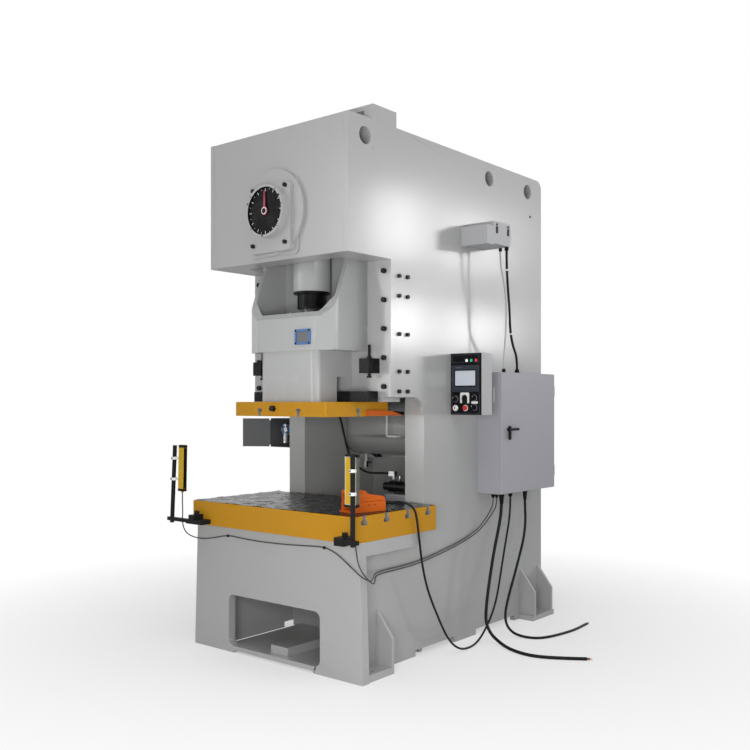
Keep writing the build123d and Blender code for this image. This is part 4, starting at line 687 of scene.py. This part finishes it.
finish_node("connecting_rod", "rod_steel", bevel=0.002)
finish_node("dial_housing", "frame", [
    ("dial_black", lambda c, n: c.y < DIAL_FRONT + 0.03 and math.hypot(c.x, c.z - CRANK_Z) < 0.1376),
], bevel=0.0015)


def past_tank(c):
    """How far a place lies from the air tank's axis."""
    return math.hypot(c.y - TANK_Y, c.z - TANK_Z)


finish_node("air_tank", "frame", [
    ("white_enamel", lambda c, n: c.y < TANK_Y - 0.165 and -0.075 < c.x < 0.045 and past_tank(c) > 0.2006),
    ("white_enamel", lambda c, n: c.z < TANK_Z - 0.202 and abs(c.x + 0.421) < 0.012),
    ("black_steel", lambda c, n: c.z < TANK_Z - 0.2 and -0.44 < c.x < -0.36 and not abs(c.x + 0.421) < 0.012),
])
finish_node("lube_unit", "cabinet", [
    ("black_steel", lambda c, n: 0.926 < c.z < 1.01),
    ("steel", lambda c, n: c.z > 1.005),
])
finish_node("control_cabinet", "cabinet", [("black_plastic", lambda c, n: c.z < 0.9185 or c.z > 1.7085)])
finish_node("control_gear", "grey_plastic", [("plate_silver", lambda c, n: c.x < 0.5751)])
finish_node("cabinet_door", "cabinet", bevel=0.0015)
finish_node("operator_box", "box_side", [
    ("black_plastic", lambda c, n: c.y < BOX_FRONT + 0.0006 or c.y < BOX_FRONT + 0.05 and n.y < -0.5),
    ("slate", lambda c, n: c.y < BOX_FRONT - 0.0005 and abs(c.z - 1.663) < 0.08),
] + [
    (lamp, lambda c, n, x=x: c.y < BOX_FRONT - 0.0005 and abs(c.x - x) < 0.0095 and c.z > 1.755)
    for lamp, x in LAMPS
])
finish_node("connector_box", "box_side", [
    ("black_steel", lambda c, n: c.x > 0.7615),
    ("black_plastic", lambda c, n: c.z < 2.5165 and c.y > RAM_Y + 0.9),
])
finish_node("air_service_unit", "plate_silver", [
    ("blue_plastic", lambda c, n: c.y < RAM_Y + 0.476 and c.z > 1.29),
])
CLAMP_HEIGHTS = {"left": (1.034, 1.164), "right": (1.037, 1.158)}
finish_node("curtain_posts", "black_enamel", [
    ("white_plastic", lambda c, n: min(abs(c.z - z) for z in CLAMP_HEIGHTS["left" if c.x < 0 else "right"]) < 0.0088),
])
finish_node("curtain_units", "curtain", [("lens_green", lambda c, n: c.x > 0.7245 and n.x > 0.9)])
finish_node("foot_switch", "orange", bevel=0.003)


# ---- Small parts of the real press, in the order of its assemblies ----
def front(x, y, z):
    """A frame on a wall that faces the front."""
    return facing(FORWARD, UP, (x, y, z))


def node_front(node):
    """The middle of a node's front face."""
    low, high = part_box(node)
    return (low[0] + high[0]) / 2, low[1], (low[2] + high[2]) / 2


def add_rim(form, outer, inner, low, high, frame_matrix):
    """A flat rim between two outlines that have equally many points."""
    rings = []
    for outline, level in ((outer, low), (outer, high), (inner, high), (inner, low)):
        rings.append([form.verts.new(frame_matrix @ Vector((x, y, level))) for x, y in outline])
    rings.append(rings[0])
    for first, second in zip(rings, rings[1:]):
        for step in range(len(outer)):
            after = (step + 1) % len(outer)
            form.faces.new([first[step], first[after], second[after], second[step]])


def add_socket_screw(form, radius, height, frame_matrix):
    """Round screw head with a hollow for the key."""
    hollow = radius * 0.5
    add_lathe(form, [
        (radius, 0.0), (radius, height * 0.85), (radius * 0.93, height), (hollow, height),
        (hollow * 0.9, height * 0.4), (0.0, height * 0.35),
    ], frame_matrix, 20)


def add_ring(form, inner, outer, height, frame_matrix, sides=28):
    """Round collar about an axis."""
    add_lathe(form, [
        (inner, 0.0), (outer, 0.0), (outer, height * 0.8), (outer - height * 0.2, height), (inner, height),
        (inner, 0.0),
    ], frame_matrix, sides, closed=False)


def build_dial():
    """Marks every 15 degrees, the ring's screws and the pointer's hub ring."""
    ticks = bmesh.new()
    for number in range(24):
        up = clock(15 * number)
        width, length = (0.0034, 0.017) if number % 2 == 0 else (0.002, 0.007)
        middle = Vector((0, DIAL_FRONT + 0.014, CRANK_Z)) + up * (0.132 - length / 2)
        add_plate(ticks, width, length, 0.0006, 0.0006, facing(FORWARD, up, middle), 2)
    piece_from("dial_ticks", ticks, "tick_white", smooth=False)
    screws = bmesh.new()
    screw_circle = 0.1447
    for radius, turns in ((0.005, (58, 185, 292)), (0.003, (38, 80, 133, 227, 310))):
        for degrees in turns:
            way = math.radians(degrees)
            place = (screw_circle * math.sin(way), DIAL_FRONT, CRANK_Z + screw_circle * math.cos(way))
            add_socket_screw(screws, radius, 0.003, axis_frame("-y", place))
    piece_from("dial_ring_screws", screws, "black_steel")
    hub = bmesh.new()
    add_ring(hub, 0.0164, 0.0205, 0.0022, axis_frame("-y", (0, node_front("dial_pointer")[1], CRANK_Z)))
    piece_from("pointer_hub_ring", hub, "plate_silver", "crank")


def build_operator_panels():
    """The operator box's front: lamp panel, screen and control panel, on its own wall frame."""
    wall = front(SIDE_X, BOX_FRONT, 1.435)
    for name, centre, width, height in (
        ("lamp_panel", (0.111, 0.350), 0.200, 0.052),
        ("control_panel", (0.111, 0.077), 0.206, 0.140),
    ):
        rim, depth = 0.004, 0.0022
        edge = bmesh.new()
        inner = rounded_outline(width - 2 * rim, height - 2 * rim, 0.002, 4, centre)
        add_rim(edge, rounded_outline(width, height, 0.004, 4, centre), inner, 0.0, depth, wall)
        piece_from(name + "_rim", edge, "slate", bevel=0.0006)
        sunk = bmesh.new()
        add_prism(sunk, inner, wall, 0.0, depth * 0.35)
        piece_from(name + "_plate", sunk, "black_plastic", smooth=False)
    screen = (0.109, 0.228)
    surround = bmesh.new()
    outer = rounded_outline(0.204, 0.160, 0.006, 5, screen)
    add_rim(surround, outer, rounded_outline(0.1825, 0.1505, 0.006, 5, screen), 0.0, 0.0028, wall)
    piece_from("screen_surround", surround, "slate", bevel=0.0007)
    border = bmesh.new()
    outer = rounded_outline(0.164, 0.106, 0.003, 4, screen)
    add_rim(border, outer, rounded_outline(0.150, 0.092, 0.002, 4, screen), 0.0039, 0.0052, wall)
    piece_from("screen_border", border, "black_plastic", bevel=0.0004)
    glass = bmesh.new()
    add_prism(glass, rounded_outline(0.1498, 0.0918, 0.002, 4, screen), wall, 0.0, 0.0020)
    piece_from("screen_glass", glass, "screen", smooth=False)
    keys = bmesh.new()
    for key in range(3):
        seat = wall @ Matrix.Translation((0.045 + 0.016 * key, 0.293, 0.004))
        add_plate(keys, 0.012, 0.004, 0.0008, 0.0015, seat, 3)
    piece_from("screen_keys", keys, "grey_plastic", smooth=False)


def build_controls():
    """Collars, plates and grips of the operator box's buttons and selectors."""
    selectors, buttons = ("selector_left", "selector_right", "mode_selector"), ("run_button", "stop_button")
    for name, material, controls, inner, outer, height in (
        ("selector_collars", "grey_plastic", selectors, 0.0165, 0.0205, 0.0035),
        ("button_collars", "white_plastic", buttons, 0.0154, 0.0190, 0.0040),
    ):
        collars = bmesh.new()
        for node in controls:
            x, _, z = node_front(node)
            add_ring(collars, inner, outer, height, axis_frame("-y", (x, PANEL_FACE, z)))
        piece_from(name, collars, material)
    cap = bmesh.new()
    add_prism(cap, rounded_outline(0.0100, 0.0100, 0.0050, 8), front(*node_front("run_button")), -0.0004, 0.0006)
    piece_from("run_button_centre", cap, "black_plastic", "run_button", smooth=False)
    bezels = bmesh.new()
    for _, x in LAMPS:
        add_ring(bezels, 0.0092, 0.0118, 0.0030, axis_frame("-y", (x, PANEL_FACE, LAMP_Z)))
    piece_from("lamp_collars", bezels, "black_steel")

    # The key switch's plate: a square with cut upper corners and an arch open at the bottom
    half, cut, arch_radius = 0.033, 0.027, 0.0195
    arch = [(arch_radius * math.cos(math.pi * k / 10), arch_radius * math.sin(math.pi * k / 10)) for k in range(11)]
    outline = [(-half, -half), (-half, cut), (-cut, half), (cut, half), (half, cut), (half, -half)]
    outline += [(arch_radius, -half)] + arch + [(-arch_radius, -half)]
    keeper = bmesh.new()
    add_prism(keeper, outline, front(0.673, PANEL_FACE, 1.541), 0.0, 0.0030)
    piece_from("key_switch_plate", keeper, "white_plastic", bevel=0.0005, smooth=False)
    label = bmesh.new()
    add_plate(label, 0.046, 0.015, 0.0010, 0.002, front(0.745, PANEL_FACE, 1.512), 3)
    piece_from("mode_selector_plate", label, "white_plastic", smooth=False)

    grip_rise = 0.0085
    for node, degrees in (("selector_left", 0), ("selector_right", 35), ("mode_selector", -35), ("key_switch", 0)):
        up = clock(degrees)
        x, y, z = node_front(node)
        seat = Vector((x, y + 0.0005, z))
        grip = bmesh.new()
        add_plate(grip, 0.0075, 0.026, grip_rise, 0.0035, facing(FORWARD, up, seat), 4)
        piece_from(node + "_grip", grip, "black_plastic", node, bevel=0.0008)
        mark = bmesh.new()
        mark_seat = seat + up * 0.008 - Vector((0, grip_rise, 0))
        add_plate(mark, 0.0016, 0.008, 0.0004, 0.0006, facing(FORWARD, up, mark_seat), 2)
        piece_from(node + "_mark", mark, "tick_white", node, smooth=False)


def build_slide_plate():
    """The bare plate on the slide in its blue frame."""
    wall = front(0.1375, RAM_Y - 0.197, 1.895)
    inner = rounded_outline(0.094, 0.062, 0.003, 4)
    rim = bmesh.new()
    add_rim(rim, rounded_outline(0.125, 0.090, 0.005, 4), inner, 0.0, 0.007, wall)
    piece_from("slide_plate_rim", rim, "blue_plate", "ram", bevel=0.001)
    plate = bmesh.new()
    add_prism(plate, inner, wall, 0.0, 0.003)
    piece_from("slide_plate_field", plate, "grey_plastic", "ram", smooth=False)
    screws = bmesh.new()
    for across in (-0.053, 0.053):
        for up in (-0.037, 0.037):
            add_socket_screw(screws, 0.0062, 0.003, wall @ Matrix.Translation((across, up, 0.007)))
    piece_from("slide_plate_screws", screws, "black_steel", "ram")


def build_slide_fittings():
    """Grease points on stems along the inner side of the shell's front wall."""
    form = bmesh.new()
    y = RAM_Y - 0.157
    for x, top in ((-0.074, 2.044), (-0.007, 2.047), (0.217, 2.044)):
        add_lathe(form, [
            (0.0, 1.960), (0.006, 1.960), (0.006, top - 0.028), (0.010, top - 0.026), (0.010, top - 0.010),
            (0.0065, top - 0.006), (0.0065, top - 0.002), (0.0, top),
        ], axis_frame("z", (x, y, 0)), 16)
        add_lathe(form, [(0.0, 0.0), (0.005, 0.0), (0.005, 0.014), (0.0, 0.014)], axis_frame("-y", (x, y, 1.975)), 12)
    piece_from("slide_grease_points", form, "plate_silver", "ram")


def build_screw_threads():
    """The adjusting screw's thread below the lock nut."""
    form = bmesh.new()
    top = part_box("lock_nut")[0][2] - 0.001
    pitch, root, crest, bore = 0.0042, 0.0602, 0.0630, 0.055
    profile = []
    height = 1.988
    while height < top:
        profile += [(root, height), (crest, height + pitch / 2)]
        height += pitch
    profile = [(bore, profile[0][1])] + profile + [(bore, profile[-1][1])]
    add_lathe(form, profile, axis_frame("z", (0, ROD_Y, 0)), 40, closed=False)
    piece_from("adjusting_screw_thread", form, "steel", "ram", smooth=False)


def build_lifting_sleeves():
    """Sleeves in the six lifting holes of the side plates."""
    form = bmesh.new()
    for side, axis in ((-1, "x"), (1, "-x")):
        for y in (-0.897, 0.387, 0.890):
            add_ring(form, 0.0500, 0.0560, 0.10, axis_frame(axis, (side * 0.5318, y, 3.0)), 36)
    piece_from("lifting_sleeves", form, "frame")


def build_film():
    """Thin protective film that lies crinkled on the bolster, pressed flat under the foot switch."""
    width, depth = 1.320, 0.732
    columns, rows = 110, 61
    form = bmesh.new()
    grid = []
    for row in range(rows + 1):
        line = []
        for column in range(columns + 1):
            x = (column / columns - 0.5) * width
            y = ROD_Y + (row / rows - 0.5) * depth
            folds = noise.noise(Vector((x * 9, y * 6, 0.3)))
            creases = noise.noise(Vector((x * 26 + 3, y * 21, 1.7)))
            lift = 0.0035 * (1 - min(1, abs(folds) * 4)) + 0.0022 * (1 - min(1, abs(creases) * 3.5))
            from_foot = Vector((x, y, 0)) - FOOT_PLACE
            near = max(abs(from_foot.dot(FOOT_WAY)) - 0.13, abs(from_foot.dot(FOOT_ACROSS)) - 0.062)
            pressed = min(1.0, max(0.0, near / 0.03))
            line.append(form.verts.new((x, y, BOLSTER_TOP + 0.0005 + lift * pressed)))
        grid.append(line)
    for here, there in zip(grid, grid[1:]):
        for column in range(columns):
            form.faces.new([here[column], here[column + 1], there[column + 1], there[column]])
    film = piece_from("crinkled_film", form, "film", angle=60)
    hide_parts("protective_film")


def along_cord(name, test):
    """The place on a cord that a test scores lowest, with the cord's way there."""
    points = cord_lines[name]
    best = min(range(1, len(points) - 1), key=lambda k: test(points[k]))
    return points[best], (points[best + 1] - points[best - 1]).normalized()


def build_cable_parts():
    """Ties on the head cable, clips on the bed, and the supply leads' reliefs and bare cores."""
    ties = bmesh.new()
    tie_length = 0.010
    for height in (2.375, 1.965):
        place, way = along_cord("head_cable_black", lambda p: abs(p.z - height))
        add_ring(ties, 0.0080, 0.0098, tie_length, turned(way, place - way * tie_length / 2), 20)
    piece_from("cable_ties", ties, "white_plastic")
    clips = bmesh.new()
    for x, z in ((-0.376, 0.705), (0.419, 0.716)):
        place, _ = along_cord("left_curtain_cable", lambda p: abs(p.x - x) + abs(p.z - z))
        seat = front(place.x, BED_FRONT, place.z)
        depth = BED_FRONT - place.y + 0.0055
        for across in (-1, 1):
            add_plate(clips, 0.010, 0.0035, depth, 0.001, seat @ Matrix.Translation((0, across * 0.0054, 0)), 2)
        add_plate(clips, 0.010, 0.0143, 0.0015, 0.001, seat @ Matrix.Translation((0, 0, depth)), 2)
    piece_from("bed_cable_clips", clips, "black_plastic", smooth=False)
    reliefs, cores, jackets = bmesh.new(), bmesh.new(), bmesh.new()
    for name in ("supply_cable", "second_supply_cable"):
        radius = CORDS[name][1] / 2
        points = cord_lines[name]
        start, end = points[0], points[-1]
        add_lathe(reliefs, [
            (radius, 0.0), (radius + 0.0050, 0.0), (radius + 0.0045, 0.012), (radius + 0.0016, 0.040),
            (radius, 0.042),
        ], axis_frame("-z", (start.x, start.y, start.z + 0.001)), 24, closed=False)
        way = (end - points[-3]).normalized()
        across = way.cross(Vector(UP)).normalized()
        for number in range(4):
            angle = math.pi / 4 + number * math.pi / 2
            offset = (across * math.cos(angle) + Vector(UP) * math.sin(angle)) * radius * 0.45
            seat = turned((way + offset * 4).normalized(), end + offset)
            add_lathe(jackets, [(0.0, -0.004), (0.0032, -0.004), (0.0032, 0.016), (0.0, 0.016)], seat, 12)
            core = [(0.0, 0.014), (0.0020, 0.014), (0.0020, 0.030), (0.0016, 0.031), (0.0, 0.031)]
            add_lathe(cores, core, seat, 12)
    piece_from("supply_strain_reliefs", reliefs, "black_plastic")
    piece_from("supply_core_jackets", jackets, "grey_plastic")
    piece_from("supply_copper_cores", cores, "copper")


def build_curtain_parts():
    """End caps, side faces and clamp screws of the two light curtains; the left one leans."""
    lean = 0.026
    left = Matrix.Translation((-0.692, RAM_Y - 0.414, 0.962)) @ Matrix.Rotation(math.atan(lean), 4, "Y")
    right = Matrix.Translation((0.6865, RAM_Y - 0.393, 0.963))
    side = bmesh.new()
    add_plate(side, 0.0255, 0.252, 0.0008, 0.001, left @ facing((1, 0, 0), UP, (0.025, 0, 0.143)), 3)
    piece_from("left_curtain_lens", side, "dial_black", smooth=False)
    caps = bmesh.new()
    for seat, width, length in ((left, 0.0512, 0.286), (right, 0.0782, 0.277)):
        for low in (-0.0004, length - 0.0156):
            add_prism(caps, rounded_outline(width, 0.0312, 0.0034, 3), seat, low, low + 0.016)
    piece_from("curtain_end_caps", caps, "black_plastic", bevel=0.0008)
    rim = bmesh.new()
    outer, inner = rounded_outline(0.075, 0.252, 0.002, 3), rounded_outline(0.071, 0.248, 0.002, 3)
    add_rim(rim, outer, inner, 0.0, 0.0010, front(0.6865, RAM_Y - 0.408, 1.1015))
    piece_from("right_curtain_rim", rim, "white_plastic", smooth=False)
    screws = bmesh.new()
    for side, y, places in (("left", -0.434, (-0.7756, -0.7679)), ("right", -0.450, (0.722, 0.722))):
        for x, z in zip(places, CLAMP_HEIGHTS[side]):
            add_socket_screw(screws, 0.0042, 0.004, axis_frame("-y", (x, RAM_Y + y, z)))
    piece_from("curtain_clamp_screws", screws, "black_steel")


def build_foot_switch_parts():
    """A black strip along the housing's ledge, a seam that is also painted shade below the hood, and the screws on
    both sides of the foot switch's housing.
    """
    seam_and_shade, heads = bmesh.new(), bmesh.new()
    for side in (-1, 1):
        out = FOOT_ACROSS * side
        # The black strip is partly the real gap at the step and partly painted shade darkening the step below the
        # hood
        add_plate(seam_and_shade, 0.148, 0.0016, 0.0004, 0.0004, facing(out, UP, on_foot(0.034, 0.0519 * side, 0.0592)), 2)
        for along in (0.004, 0.046):
            seat = facing(out, UP, on_foot(along, 0.0558 * side, 0.040))
            add_prism(heads, rounded_outline(0.0075, 0.0075, 0.00374, 6), seat, 0.0, 0.0012)
    piece_from("foot_switch_seam_and_shade", seam_and_shade, "black_plastic", smooth=False)
    piece_from("foot_switch_screws", heads, "black_steel", smooth=False)


def build_side_parts():
    """A black disc in the side's small hole as painted shade for the hole's dark inside, and the white strip on the
    cabinet's front side.
    """
    # Painted shade: a thin black disc stands for the shadowed inside of the small hole
    hole_shade = bmesh.new()
    seat = facing((1, 0, 0), UP, (SIDE_X - 0.0004, 0.925, 2.830))
    add_prism(hole_shade, rounded_outline(0.018, 0.018, 0.0089, 8), seat, 0.0, 0.0030)
    piece_from("side_hole_shade_disc", hole_shade, "black_plastic", bevel=0.0008)
    strip = bmesh.new()
    add_plate(strip, 0.007, 0.100, 0.003, 0.0015, front(0.693, RAM_Y + 0.996, 1.561), 3)
    piece_from("cabinet_side_strip", strip, "white_enamel", bevel=0.0006)


def build_air_gauge():
    """The pressure gauge of the air service unit."""
    place = (-0.665, RAM_Y + 0.4630, 1.324)
    face = 0.0012
    dial = bmesh.new()
    add_lathe(dial, [(0.0, 0.0), (0.0190, 0.0), (0.0190, face), (0.0, face)], axis_frame("-y", place), 28)
    piece_from("air_gauge_face", dial, "tick_white", smooth=False)
    ring = bmesh.new()
    add_ring(ring, 0.0188, 0.0228, 0.0040, axis_frame("-y", place))
    piece_from("air_gauge_ring", ring, "black_plastic")
    scale = bmesh.new()
    on_dial = Vector(place) - Vector((0, face, 0))
    for number in range(11):
        up = clock(-135 + 27 * number)
        add_plate(scale, 0.0007, 0.0035, 0.0003, 0.0003, facing(FORWARD, up, on_dial + up * 0.016), 2)
    needle = Vector((math.sin(0.6), 0, math.cos(0.6)))
    add_plate(scale, 0.0012, 0.015, 0.0006, 0.0005, facing(FORWARD, needle, on_dial + needle * 0.006), 2)
    piece_from("air_gauge_scale", scale, "black_steel", smooth=False)


build_dial()
build_operator_panels()
build_controls()
build_slide_plate()
build_slide_fittings()
build_screw_threads()
build_lifting_sleeves()
build_film()
build_cable_parts()
build_curtain_parts()
build_foot_switch_parts()
build_side_parts()
build_air_gauge()
